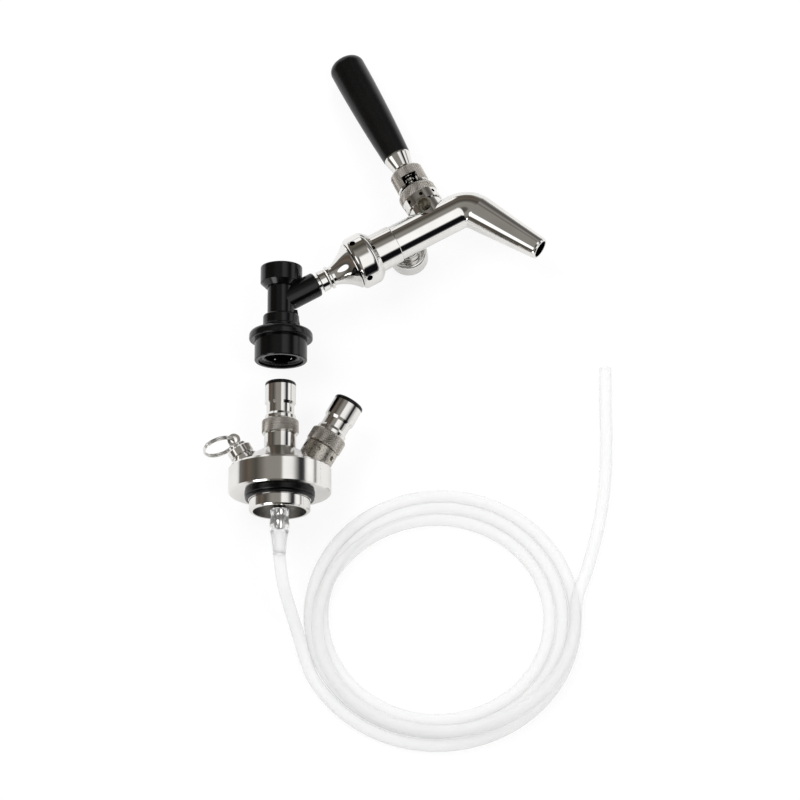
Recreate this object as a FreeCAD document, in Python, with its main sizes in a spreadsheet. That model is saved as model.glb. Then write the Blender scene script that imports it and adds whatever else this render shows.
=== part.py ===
import FreeCAD
import Part
import math
import os
import re
import Sketcher
from FreeCAD import Placement, Rotation, Vector

# Keg dispensing head laid on its side on a table. The origin is on the head's axis at the
# cap's seat, +Y runs along that axis away from the keg, and +Z points up from the table.

SIZES = {
    # Cap and its screw collar
    "cap_radius": 28.5, "cap_wall": 14.5, "cap_edge": 0.8, "cone_top_radius": 8.9, "recess_height": 6,
    "collar_radius": 17, "collar_bore": 14.85, "collar_depth": 10.2, "gasket_radius": 19.5,
    "gasket_thick": 2.4, "gasket_sunk": 0.6, "ring_wire": 0.9, "collar_step": 0.4, "port_tilt": 30,
    "port_offset": 19.3, "spot_face": 1.2,
    # Posts, measured from their seat on the cap
    "stud_radius": 6, "stud_length": 8, "stud_passage": 1.5, "foot_radius": 8.9, "foot_height": 8.1,
    "ring_radius": 9.95, "ring_top": 16.7, "post_radius": 8.6, "post_top": 36.2, "waist_radius": 7.7,
    "waist_low": 18.7, "waist_high": 26.4, "waist_flank": 1.5, "valve_bore": 6.2, "valve_floor": 7,
    "valve_roof": 33.8, "post_mouth": 4.4, "lip_radius": 6.6, "lip_height": 1.2, "seal_height": 2.4,
    "seal_round": 1.4, "poppet_head": 5.6, "poppet_nose": 3.9, "poppet_gap": 0.2, "poppet_reach": 1.6,
    "poppet_skirt": 3.4, "poppet_stem": 1.5, "poppet_length": 14, "wire_radius": 0.4,
    # Dip stub and hose
    "stub_flange": 6, "stub_radius": 3.3, "stub_bore": 2.2, "stub_end": 20, "barb_rise": 0.4,
    "barb_length": 4, "cuff_start": 9, "cuff_end": 34, "cuff_radius": 5.4, "hose_radius": 3.5,
    "table_level": 28.5, "coil_x": 86.7, "coil_y": -64.8, "coil_length": 162.6, "coil_width": 152,
    "coil_ring": 22.5, "coil_height": 14, "coil_round": 3,
    # Relief valve, measured from its seat on the cap
    "relief_stud": 5, "relief_depth": 7, "relief_flange": 7.4, "relief_body": 6.9, "relief_top": 9.4,
    "relief_bore": 3.4, "relief_mouth": 2.2, "relief_rod": 1.9, "relief_eye": 12.6, "eye_radius": 3.6,
    "eye_thick": 3.4, "eye_hole": 1.95, "pull_radius": 8.85, "pull_wire": 0.95, "relief_seat": 4.4,
    # Disconnect, measured from the mouth of its release collar
    "disconnect_height": 76.8, "sleeve_radius": 14.7, "sleeve_mouth": 12.6, "sleeve_land": 11.25,
    "sleeve_chamber": 13.2, "sleeve_lip": 11.15, "sleeve_flange": 17.8, "flange_low": 12,
    "sleeve_top": 18.1, "chamber_low": 7, "chamber_high": 16.7, "barrel_radius": 11, "socket_radius": 8.8,
    "barrel_mouth": 1.5, "socket_roof": 19.8, "spring_seat": 12.9, "shoulder_low": 20.8,
    "shoulder_radius": 10.1, "shoulder_high": 26.8, "neck_radius": 7.7, "neck_top": 51.7,
    "chamber_radius": 4.9, "pin_seat": 21.7, "pin_hole": 2.6, "arm_height": 34.6, "arm_radius": 7.1,
    "arm_length": 22.9, "arm_bore": 3.2, "web_thick": 2.8, "ball_height": 4.2, "ball_radius": 1.25,
    "ball_circle": 9.9, "ball_count": 6, "ball_turn": 22, "cap_low": 43.2, "lid_radius": 11.7, "lid_top": 55.5,
    "lid_roof": 52.8, "pin_radius": 2.2, "pin_tip": 16.2, "pin_head": 4.4, "pin_top": 31,
    # Faucet, measured along its body from the disconnect's axis
    "faucet_rise": 28.5, "faucet_roll": 9.2, "flare_radius": 6.1, "adapter_start": 29.7,
    "adapter_end": 50, "adapter_radius": 13.6, "adapter_flange": 12.4, "adapter_bore": 3.3,
    "coupling_start": 45.5, "coupling_length": 14.2, "coupling_turn": 20.4, "coupling_radius": 15.35,
    "washer_end": 51.6,
    "thread_radius": 12.5, "thread_end": 58, "heel_radius": 11.2, "heel_end": 72.7, "body_radius": 10.2,
    "body_bore": 7.2, "web_start": 76, "web_end": 85, "web_bore": 3.2, "seat_start": 105,
    "bend_start": 111.8, "bend_radius": 11.5, "spout_drop": 63.2, "spout_length": 42.4, "tip_radius": 6.35,
    "spout_bore": 5, "handle_place": 98, "pivot_height": 17, "nest_radius": 10, "nest_top": 15.5,
    "nest_bore": 8.05, "nest_floor": 11.9, "throttle_place": 79.3, "throttle_bore": 4,
    "boss_radius": 6.8, "boss_height": 12.6, "gland_bore": 5.25, "gland_floor": 7.4,
    # Handle, measured from the lever's pivot
    "ball_size": 5.5, "ball_room": 5.55, "finger_radius": 1.1, "finger_ball": 2.3, "lever_neck": 3,
    "lever_stud": 3.9, "bonnet_radius": 10.7, "bonnet_low": 5.5, "bonnet_edge": 5, "dome_radius": 11.8,
    "handle_lean": 2.3, "handle_tilt": 30, "skirt_dome": 12.3, "skirt_radius": 9.2, "skirt_bore": 6.6,
    "skirt_top": 20.5, "ferrule_low": 21.9, "ferrule_high": 30.7, "grip_low": 7.9, "grip_high": 10.1,
    "grip_top": 102, "knob_radius": 10.7, "knob_low": 16.2, "knob_high": 26.9, "shuttle_radius": 6.9,
}

doc = FreeCAD.newDocument("keg_dispensing_head")
sheet = doc.addObject("Spreadsheet::Sheet", "sizes")
for row, (alias, number) in enumerate(SIZES.items(), start=1):
    sheet.set(f"A{row}", alias)
    sheet.set(f"B{row}", str(number))
    sheet.setAlias(f"B{row}", alias)
doc.recompute()

PARTS = {}
ORIGIN = Vector(0, 0, 0)
X_AXIS = Vector(1, 0, 0)
Y_AXIS = Vector(0, 1, 0)
Z_AXIS = Vector(0, 0, 1)


def size(text):
    """Value of an expression written in the sheet's own names."""
    return float(sheet.evalExpression(str(text)))


def bound(text):
    """The same expression as an object outside the sheet has to write it."""
    return re.sub(r"[a-z_]+(?![a-z_(])", lambda word: "sizes." + word.group(), str(text))


def place(x=0.0, y=0.0, z=0.0, turn=None):
    """Placement at a point, with an optional rotation."""
    return Placement(Vector(x, y, z), turn or Rotation())


# Frames of the three assemblies. A turned piece is drawn about its own upright axis.
UPRIGHT_TO_Y = Rotation(X_AXIS, -90)
UPRIGHT_TO_X = Rotation(Y_AXIS, 90)
HEAD = place(turn=UPRIGHT_TO_Y)
CONE_TOP = "(cap_wall + (cap_radius - cone_top_radius) * tan(port_tilt))"
RING_LOW = "gasket_sunk - gasket_thick - 2 * ring_wire"
NUT_START = "coupling_start - adapter_start"
PORT_HEIGHT = "(cap_wall + (cap_radius - port_offset) * tan(port_tilt))"
LIQUID_PORT = place(0, size(CONE_TOP), 0, UPRIGHT_TO_Y)
DISCONNECT = place(0, size("disconnect_height"), 0, UPRIGHT_TO_Y)
FAUCET = place(0, size("disconnect_height + arm_height"), 0,
               Rotation(Z_AXIS, size("faucet_rise")) * Rotation(X_AXIS, -size("faucet_roll")))
HANDLE = FAUCET * place(size("handle_place"), size("pivot_height"), 0, UPRIGHT_TO_Y)
LEAN = HANDLE * place(turn=Rotation(Y_AXIS, size("handle_lean")))
THROTTLE = FAUCET * place(size("throttle_place"), 0, 0, Rotation(X_AXIS, 180))


def side_port(side):
    """Frame of a port on the cap's cone: side 1 is the gas post, side -1 the relief valve."""
    tilted = Rotation(Z_AXIS, -side * size("port_tilt"))
    return place(side * size("port_offset"), size(PORT_HEIGHT), 0, tilted * UPRIGHT_TO_Y)


GAS_PORT = side_port(1)
RELIEF_PORT = side_port(-1)


def along_faucet(start):
    """Frame of a piece turned about the faucet's body, from a distance along it."""
    return FAUCET * place(size(start), 0, 0, UPRIGHT_TO_X)


def new_body(label, frame):
    """An empty body for one sub-part."""
    body = doc.addObject("PartDesign::Body", label)
    body.Label = label
    body.Placement = frame
    PARTS[label] = body
    return body


def origin_item(body, role):
    """The body's own origin plane or axis of that role."""
    return next(item for item in body.Origin.OriginFeatures if item.Role == role)


def new_sketch(body, name, role="XZ_Plane", offset=None):
    """An empty sketch on one of the body's origin planes."""
    sketch = body.newObject("Sketcher::SketchObject", name)
    sketch.AttachmentSupport = (origin_item(body, role), [""])
    sketch.MapMode = "FlatFace"
    if offset:
        sketch.AttachmentOffset = offset
    return sketch


def tie(sketch, kind, first, text, name):
    """A dimension of the sketch, bound to an expression of the sheet."""
    index = sketch.addConstraint(Sketcher.Constraint(kind, *first, size(text)))
    sketch.renameConstraint(index, name)
    sketch.setExpression("Constraints." + name, bound(text))


def draw(body, name, corners, role="XZ_Plane", offset=None):
    """A closed outline. A corner is (u, v), or (u, v, radius) where an arc leads to it,
    counter-clockwise for a positive radius and clockwise for a negative one."""
    sketch = new_sketch(body, name, role, offset)
    points = [Vector(size(corner[0]), size(corner[1]), 0) for corner in corners]
    starts = []
    ends = []
    for index, corner in enumerate(corners):
        begin = points[index - 1]
        finish = points[index]
        if len(corner) == 2:
            sketch.addGeometry(Part.LineSegment(begin, finish))
            starts.append(1)
            ends.append(2)
            continue
        radius = size(corner[2])
        chord = finish - begin
        left = Vector(-chord.y, chord.x, 0).normalize()
        reach = math.sqrt(max(radius ** 2 - (chord.Length / 2) ** 2, 0))
        centre = (begin + finish) * 0.5 + left * math.copysign(reach, radius)
        first, last = (begin, finish) if radius > 0 else (finish, begin)
        angles = [math.atan2(point.y - centre.y, point.x - centre.x) for point in (first, last)]
        circle = Part.Circle(centre, Z_AXIS, abs(radius))
        sketch.addGeometry(Part.ArcOfCircle(circle, *angles))
        starts.append(1 if radius > 0 else 2)
        ends.append(2 if radius > 0 else 1)
    for index, corner in enumerate(corners):
        following = (index + 1) % len(corners)
        meet = Sketcher.Constraint("Coincident", index, ends[index], following, starts[following])
        sketch.addConstraint(meet)
    for index, corner in enumerate(corners):
        tie(sketch, "DistanceX", (-1, 1, index, ends[index]), corner[0], f"u{index}")
        tie(sketch, "DistanceY", (-1, 1, index, ends[index]), corner[1], f"v{index}")
        if len(corner) == 3:
            text = f"abs({corner[2]})"
            tie(sketch, "Radius", (index,), text, f"radius{index}")
    return sketch


def draw_circles(body, name, circles, role, offset=None):
    """Whole circles, each given as (u, v, radius)."""
    sketch = new_sketch(body, name, role, offset)
    for index, (across, up, radius) in enumerate(circles):
        centre = Vector(size(across), size(up), 0)
        sketch.addGeometry(Part.Circle(centre, Z_AXIS, size(radius)))
        tie(sketch, "DistanceX", (-1, 1, index, 3), across, f"u{index}")
        tie(sketch, "DistanceY", (-1, 1, index, 3), up, f"v{index}")
        tie(sketch, "Radius", (index,), radius, f"radius{index}")
    return sketch


def revolve(body, sketch, name, angle=360, cut=False, reverse=False):
    """Turns a sketch about its own upright axis, adding or cutting."""
    before = body.Shape.Volume if body.Tip else 0
    kind = "PartDesign::Groove" if cut else "PartDesign::Revolution"
    feature = body.newObject(kind, name)
    feature.Profile = sketch
    feature.ReferenceAxis = (sketch, ["V_Axis"])
    feature.Angle = angle
    feature.Reversed = reverse
    sketch.Visibility = False
    doc.recompute()
    if abs(body.Shape.Volume - before) < 0.01:
        raise ValueError(f"{name} changed nothing")
    return feature


def turned(label, frame, corners):
    """A round sub-part, turned from one outline of (radius, height)."""
    body = new_body(label, frame)
    revolve(body, draw(body, label + "_outline", corners), label + "_turning")
    return body


def bored(body, name, corners, offset=None):
    """A round hollow cut out of a body, about an axis in its front plane."""
    return revolve(body, draw(body, name + "_outline", corners, "XZ_Plane", offset), name, cut=True)


def pocket(body, name, sketch, length, midplane=False, reverse=False):
    """A straight cut, checked to have taken something away."""
    before = body.Shape.Volume
    feature = body.newObject("PartDesign::Pocket", name)
    feature.Profile = sketch
    feature.setExpression("Length", bound(length))
    feature.Midplane = midplane
    feature.Reversed = reverse
    doc.recompute()
    if before - body.Shape.Volume < 0.01:
        raise ValueError(f"{name} cut nothing")
    return feature


def ring_of(body, name, feature, count):
    """Repeats a feature evenly round the body's upright axis."""
    pattern = body.newObject("PartDesign::PolarPattern", name)
    pattern.Originals = [feature]
    pattern.Axis = (origin_item(body, "Z_Axis"), [""])
    pattern.Angle = 360
    pattern.Occurrences = int(count)
    body.Tip = pattern
    doc.recompute()
    return pattern


def o_ring(label, frame, centre, height, wire):
    """A round-section ring."""
    torus = doc.addObject("Part::Torus", label)
    torus.Label = label
    torus.setExpression("Radius1", bound(centre))
    torus.setExpression("Radius2", bound(wire))
    torus.Placement = frame * place(0, 0, size(height))
    PARTS[label] = torus
    return torus


def spring(label, frame, radius, low, high, turns):
    """A coil spring of round wire, between two heights on its axis."""
    body = new_body(label, frame)
    wire = "wire_radius"
    section = draw_circles(body, label + "_section", [(radius, f"({low}) + {wire}", wire)], "XZ_Plane")
    helix = body.newObject("PartDesign::AdditiveHelix", label + "_coil")
    helix.Profile = section
    helix.ReferenceAxis = (section, ["V_Axis"])
    helix.Mode = "height-turns-growth"
    helix.Height = size(f"({high}) - ({low}) - 2 * {wire}")
    helix.Turns = turns
    helix.Growth = 0
    doc.recompute()
    return body


# Cap, its seals and the stub that the hose is pushed on
def cap_pieces():
    cap = turned("cap_body", HEAD, [
        ("collar_bore", "-collar_depth"), ("collar_radius - cap_edge", "-collar_depth"),
        ("collar_radius", "cap_edge - collar_depth"), ("collar_radius", RING_LOW),
        ("collar_radius + collar_step", RING_LOW), ("collar_radius + collar_step", "gasket_sunk"),
        ("gasket_radius + 0.1", "gasket_sunk"), ("gasket_radius + 0.1", "0"), ("cap_radius - cap_edge", "0"),
        ("cap_radius", "cap_edge"), ("cap_radius", "cap_wall - cap_edge"),
        ("cap_radius - cap_edge", "cap_wall + cap_edge * tan(port_tilt)"),
        ("cone_top_radius", CONE_TOP), ("stud_radius", CONE_TOP),
        ("stud_radius", CONE_TOP + " - stud_length"), ("stud_radius / 2", CONE_TOP + " - stud_length"),
        ("stud_radius / 2", "recess_height"), ("collar_bore", "recess_height")])
    port = f"{size('port_offset')}, {size(PORT_HEIGHT)}"
    gas = Placement(Vector(size("port_offset"), size(PORT_HEIGHT), 0), Rotation(Z_AXIS, -size("port_tilt")))
    relief = Placement(Vector(-size("port_offset"), size(PORT_HEIGHT), 0), Rotation(Z_AXIS, size("port_tilt")))
    bored(cap, "gas_hole", [
        ("0", "-stud_length - 9"), ("stud_passage", "-stud_length - 9"), ("stud_passage", "-stud_length"),
        ("stud_radius", "-stud_length"), ("stud_radius", "-spot_face"),
        ("ring_radius + 0.3", "-spot_face"), ("ring_radius + 0.3", "ring_top / 2"), ("0", "ring_top / 2")], gas)
    bored(cap, "relief_hole", [
        ("0", "-relief_depth - 10"), ("stud_passage", "-relief_depth - 10"), ("stud_passage", "-relief_depth"),
        ("relief_stud", "-relief_depth"), ("relief_stud", "-spot_face"),
        ("relief_flange + 0.3", "-spot_face"), ("relief_flange + 0.3", "relief_top / 2"),
        ("0", "relief_top / 2")], relief)
    turned("cap_gasket", HEAD, [
        ("collar_radius + collar_step", "gasket_sunk - gasket_thick"),
        ("gasket_radius - 0.5", "gasket_sunk - gasket_thick"),
        ("gasket_radius", "gasket_sunk - gasket_thick + 0.5"), ("gasket_radius", "gasket_sunk"),
        ("collar_radius + collar_step", "gasket_sunk")])
    o_ring("collar_o_ring", HEAD, "collar_radius + collar_step + ring_wire",
           "gasket_sunk - gasket_thick - ring_wire", "ring_wire")
    turned("dip_stub", HEAD, [
        ("stub_bore", "-stub_end"), ("stub_radius - barb_rise", "-stub_end"),
        ("stub_radius + barb_rise", "barb_length - stub_end"),
        ("stub_radius", "barb_length - stub_end"), ("stub_radius", "2 * barb_length - stub_end"),
        ("stub_radius", "recess_height - 3"), ("stub_flange", "recess_height - 3"),
        ("stub_flange", "recess_height"), ("stud_radius / 2", "recess_height"),
        ("stud_radius / 2", f"{CONE_TOP} - stud_length"), ("stub_bore", f"{CONE_TOP} - stud_length")])


# A post with its seal, poppet and spring. The foot's radius tells the two posts apart
def post_pieces(name, frame, foot, seat, passage):
    post = turned(name + "_post", frame, [
        (passage, "-stud_length"), ("stud_radius", "-stud_length"), ("stud_radius", f"-{seat}"),
        (foot, f"-{seat}"), (foot, "foot_height - 0.5"), ("foot_radius", "foot_height"),
        ("ring_radius - 0.6", "foot_height"), ("ring_radius", "foot_height + 0.6"),
        ("ring_radius", "ring_top - 0.6"), ("ring_radius - 0.6", "ring_top"), ("post_radius", "ring_top"),
        ("post_radius", "waist_low"), ("waist_radius", "waist_low + waist_flank"),
        ("waist_radius", "waist_high - waist_flank"), ("post_radius", "waist_high"),
        ("post_radius", "post_top"), ("lip_radius", "post_top"), ("lip_radius", "post_top + lip_height"),
        ("post_mouth + 0.8", "post_top + lip_height"), ("post_mouth", "post_top"),
        ("post_mouth", "valve_roof"), ("valve_bore", "valve_roof"), ("valve_bore", "valve_floor"),
        (passage, "valve_floor")])
    turned(name + "_post_seal", frame, [
        ("lip_radius", "post_top"), ("post_radius", "post_top"),
        ("post_radius", "post_top + seal_height - seal_round"),
        ("post_radius - seal_round", "post_top + seal_height", "seal_round"),
        ("lip_radius", "post_top + seal_height")])
    turned(name + "_poppet", frame, [
        ("0", "valve_roof + poppet_reach"), ("0", "valve_roof - poppet_length"),
        ("poppet_stem", "valve_roof - poppet_length"), ("poppet_stem", "valve_roof - poppet_skirt"),
        ("poppet_head", "valve_roof - poppet_skirt"), ("poppet_head", "valve_roof - poppet_gap"),
        ("poppet_nose", "valve_roof - poppet_gap"), ("poppet_nose", "valve_roof + poppet_reach - 0.5"),
        ("poppet_nose - 0.5", "valve_roof + poppet_reach")])
    spring(name + "_poppet_spring", frame, "poppet_head - 1", "valve_floor + 0.1",
           "valve_roof - poppet_skirt - 0.1", 5)
    return post


def foot_dimples(post):
    """Round dimples in the side of a post's foot, for a pin spanner."""
    outline = draw_circles(post, "dimple_outline", [("0", "foot_height / 2", "1.3")], "XZ_Plane",
                           place(0, 0, size("ring_radius - 1.6")))
    first = pocket(post, "dimple", outline, "3", reverse=True)
    ring_of(post, "dimples", first, 6)


# Relief valve with its pull ring
def relief_pieces():
    turned("relief_body", RELIEF_PORT, [
        ("stud_passage", "-relief_depth"), ("relief_stud", "-relief_depth"), ("relief_stud", "-spot_face"),
        ("relief_flange", "-spot_face"), ("relief_flange", "1"), ("relief_body - 0.9", "1.4"),
        ("relief_body - 0.9", "2.4"), ("relief_body", "2.9"), ("relief_body", "relief_top - 2.6"),
        ("relief_body - 0.8", "relief_top - 1.9"), ("relief_seat + 0.6", "relief_top - 1.9"),
        ("relief_seat + 0.6", "relief_top - 0.3"), ("relief_seat + 0.3", "relief_top"),
        ("relief_mouth", "relief_top"), ("relief_mouth", "relief_top - 2"),
        ("relief_bore", "relief_top - 2"), ("relief_bore", "0.8 - relief_depth"),
        ("stud_passage", "0.8 - relief_depth")])
    stem = turned("relief_stem", RELIEF_PORT, [
        ("0", "0.9 - relief_depth"), ("relief_bore - 0.4", "0.9 - relief_depth"),
        ("relief_bore - 0.4", "2.4 - relief_depth"), ("relief_rod - 0.5", "2.4 - relief_depth"),
        ("relief_rod - 0.5", "relief_top - 1.6"), ("relief_rod", "relief_top - 1.1"),
        ("relief_rod", "relief_eye - 1"), ("0", "relief_eye - 1")])
    head = draw_circles(stem, "eye_outline", [("0", "relief_eye", "eye_radius")], "XZ_Plane")
    eye = stem.newObject("PartDesign::Pad", "eye")
    eye.Profile = head
    eye.Midplane = True
    eye.setExpression("Length", bound("eye_thick"))
    doc.recompute()
    hole = draw_circles(stem, "eye_hole_outline", [("0", "relief_eye", "eye_hole")], "XZ_Plane")
    pocket(stem, "eye_hole", hole, "2 * eye_thick", midplane=True)
    spring("relief_spring", RELIEF_PORT, "relief_bore - 0.8", "2.5 - relief_depth", "relief_top - 2.1", 5)
    ring = doc.addObject("Part::Torus", "pull_ring")
    ring.Label = "pull_ring"
    ring.setExpression("Radius1", bound("pull_radius"))
    ring.setExpression("Radius2", bound("pull_wire"))
    ring.Placement = pull_ring_frame()
    PARTS["pull_ring"] = ring


PULL_OUT = Vector(-0.927, -0.358, -0.109)
PULL_TANGENT = Vector(-0.176, 0.159, 0.971)


def pull_ring_frame():
    """The ring hangs in the stem's eye, to the left and flat to the view from above."""
    eye = RELIEF_PORT.multVec(Vector(0, 0, size("relief_eye")))
    out = Vector(PULL_OUT).normalize()
    centre = eye + out * size("pull_radius")
    return Placement(centre, Rotation(out, PULL_TANGENT, Vector(0, 0, 0), "XYZ"))


# Quick disconnect
def disconnect_pieces():
    body = turned("disconnect_body", DISCONNECT, [
        ("pin_hole", "socket_roof"), ("socket_radius", "socket_roof"),
        ("socket_radius", "barrel_mouth + 0.6"), ("socket_radius + 0.6", "barrel_mouth"),
        ("barrel_radius - 0.3", "barrel_mouth"), ("barrel_radius", "barrel_mouth + 0.3"),
        ("barrel_radius", "chamber_high - 1.4"), ("spring_seat", "chamber_high - 1.4"),
        ("spring_seat", "chamber_high - 0.2"), ("barrel_radius", "chamber_high - 0.2"),
        ("barrel_radius", "shoulder_low - 0.6"), ("barrel_radius - 0.6", "shoulder_low"),
        ("shoulder_radius", "shoulder_low"), ("shoulder_radius", "shoulder_high - 1.2"),
        ("shoulder_radius - 1.2", "shoulder_high", "1.2"), ("neck_radius", "shoulder_high"),
        ("neck_radius", "neck_top"), ("chamber_radius", "neck_top"), ("chamber_radius", "pin_seat"),
        ("pin_hole", "pin_seat")])
    tilt = Rotation(Z_AXIS, size("faucet_rise") - 90)
    arm_frame = Placement(Vector(0, size("arm_height"), 0), tilt)
    arm = draw(body, "side_arm_outline", [
        ("0", "0"), ("arm_radius", "0"), ("arm_radius", "arm_length - 1.5"),
        ("arm_radius - 1.5", "arm_length", "1.5"), ("0", "arm_length")], "XZ_Plane", arm_frame)
    revolve(body, arm, "side_arm")
    web = body.newObject("PartDesign::Pad", "arm_web")
    web.Profile = draw(body, "arm_web_outline", [
        ("neck_radius - 1", "shoulder_low"), ("barrel_radius - 0.4", "shoulder_low"),
        ("shoulder_radius - 1", "shoulder_high + 3"), ("neck_radius - 1", "shoulder_high + 3")])
    web.Midplane = True
    web.setExpression("Length", bound("web_thick"))
    doc.recompute()
    bored(body, "arm_bore", [("0", "0"), ("arm_bore", "0"), ("arm_bore", "arm_length + 1"),
                             ("0", "arm_length + 1")], arm_frame)
    bored(body, "valve_chamber", [("0", "pin_seat"), ("chamber_radius", "pin_seat"),
                                  ("chamber_radius", "neck_top + 1"), ("0", "neck_top + 1")])
    hole = draw_circles(body, "ball_hole_outline", [("0", "ball_height", "ball_radius + 0.05")], "XZ_Plane",
                        place(turn=Rotation(Y_AXIS, size("ball_turn"))))
    first = pocket(body, "ball_hole", hole, "barrel_radius + 1")
    ring_of(body, "ball_holes", first, size("ball_count"))

    turned("release_collar", DISCONNECT, [
        ("sleeve_mouth", "0"), ("sleeve_radius - 0.5", "0"), ("sleeve_radius", "0.5"),
        ("sleeve_radius", "flange_low"), ("sleeve_flange - 1", "flange_low"),
        ("sleeve_flange", "flange_low + 1", "1"), ("sleeve_flange", "sleeve_top - 3.4"),
        ("sleeve_flange - 3", "sleeve_top - 0.4", "3"), ("sleeve_lip + 1", "sleeve_top"),
        ("sleeve_lip", "sleeve_top"), ("sleeve_lip", "chamber_high"), ("sleeve_chamber", "chamber_high"),
        ("sleeve_chamber", "chamber_low"), ("sleeve_land", "chamber_low"),
        ("sleeve_land", "barrel_mouth + 1"), ("sleeve_mouth", "barrel_mouth")])
    spring("collar_spring", DISCONNECT, "(sleeve_chamber + barrel_radius) / 2", "chamber_low + 0.2",
           "chamber_high - 1.6", 3)
    lock_balls()
    turned("socket_seal", DISCONNECT, [
        ("chamber_radius", "socket_roof - 1.1"), ("socket_radius - 0.2", "socket_roof - 1.1"),
        ("socket_radius - 0.2", "socket_roof - 0.02"), ("chamber_radius", "socket_roof - 0.02")])
    turned("valve_pin", DISCONNECT, [
        ("0", "pin_tip"), ("pin_radius - 0.4", "pin_tip"), ("pin_radius", "pin_tip + 0.4"),
        ("pin_radius", "pin_seat + 0.1"), ("pin_head", "pin_seat + 0.1"), ("pin_head", "pin_seat + 2.6"),
        ("poppet_stem", "pin_seat + 2.6"), ("poppet_stem", "pin_top"), ("0", "pin_top")])
    spring("pin_spring", DISCONNECT, "chamber_radius - 1", "pin_seat + 2.8", "neck_top - 0.2", 7)
    turned("lid_seal", DISCONNECT, [
        ("0", "neck_top"), ("neck_radius", "neck_top"), ("neck_radius", "lid_roof"), ("0", "lid_roof")])
    lid = turned("disconnect_lid", DISCONNECT, [
        ("neck_radius", "cap_low"), ("lid_radius - 2.8", "cap_low"), ("lid_radius", "cap_low + 2.6"),
        ("lid_radius", "lid_top - 1"), ("lid_radius - 1", "lid_top", "1"), ("0", "lid_top"),
        ("0", "lid_roof"), ("neck_radius", "lid_roof")])
    slot = draw(lid, "coin_slot_outline", [
        ("-1.2", "lid_top - 1.5"), ("1.2", "lid_top - 1.5"), ("1.2", "lid_top + 1"), ("-1.2", "lid_top + 1")])
    pocket(lid, "coin_slot", slot, "1.5 * lid_radius", midplane=True)


def lock_balls():
    """The steel balls in the barrel's holes, as one group of separate solids."""
    centre = Vector(0, -size("ball_circle"), size("ball_height"))
    balls = []
    for index in range(int(size("ball_count"))):
        turn = Rotation(Z_AXIS, 360 * index / size("ball_count") + size("ball_turn"))
        balls.append(Part.makeSphere(size("ball_radius"), turn.multVec(centre)))
    group = doc.addObject("Part::Feature", "lock_balls")
    group.Label = "lock_balls"
    group.Shape = Part.makeCompound(balls)
    group.Placement = DISCONNECT
    PARTS["lock_balls"] = group


# Connection between the disconnect's arm and the faucet
def coupling_pieces():
    turned("flare_nut", along_faucet("arm_length"), [
        ("arm_bore", "0"), ("flare_radius - 1.5", "0"), ("flare_radius - 1.5", "1.5"),
        ("flare_radius", "1.9"), ("flare_radius", "5.2"), ("flare_radius - 0.7", "6.1"),
        ("arm_bore", "6.1")])
    turned("flare_washer", along_faucet("adapter_start - 0.7"), [
        ("adapter_bore", "0"), ("flare_radius - 0.8", "0"), ("flare_radius - 0.8", "0.7"),
        ("adapter_bore", "0.7")])
    turned("shank_adapter", along_faucet("adapter_start"), [
        ("adapter_bore", "0"), ("flare_radius + 0.1", "0"), ("flare_radius + 0.55", "0.4"),
        ("flare_radius + 0.55", "1.4"), ("flare_radius - 0.4", "2"), ("flare_radius - 0.4", "3.5"),
        ("adapter_radius", NUT_START + " - 0.7", "-28"), ("adapter_radius", NUT_START + " - 0.2"),
        ("10", NUT_START + " - 0.2"), ("10", NUT_START + " + 2"), ("adapter_flange", NUT_START + " + 2"),
        ("adapter_flange", "adapter_end - adapter_start"), ("6", "adapter_end - adapter_start"),
        ("adapter_bore", NUT_START)])
    nut = turned("coupling_nut", along_faucet("coupling_start"), [
        ("10.2", "0"), ("coupling_radius - 3", "0"), ("coupling_radius", "3", "3"),
        ("coupling_radius", "9.4"), ("coupling_radius - 1.2", "12.2", "4"),
        ("coupling_radius - 3.2", "coupling_length"), ("heel_radius + 0.2", "coupling_length"),
        ("heel_radius + 0.2", "coupling_length - 1.6"), ("thread_radius", "coupling_length - 1.6"),
        ("thread_radius", "1.8"), ("10.2", "1.8")])
    spanner = draw_circles(nut, "spanner_hole_outline", [("0", "3.8", "1.75")], "XZ_Plane",
                           place(0, 0, size("coupling_radius - 2.2")))
    first = pocket(nut, "spanner_hole", spanner, "5", reverse=True)
    ring_of(nut, "spanner_holes", first, 4)
    nut.Placement = nut.Placement * place(turn=Rotation(Z_AXIS, -size("coupling_turn")))
    turned("coupling_washer", along_faucet("adapter_end"), [
        ("6", "0"), ("adapter_flange", "0"), ("adapter_flange", "washer_end - adapter_end"),
        ("6", "washer_end - adapter_end")])


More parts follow.
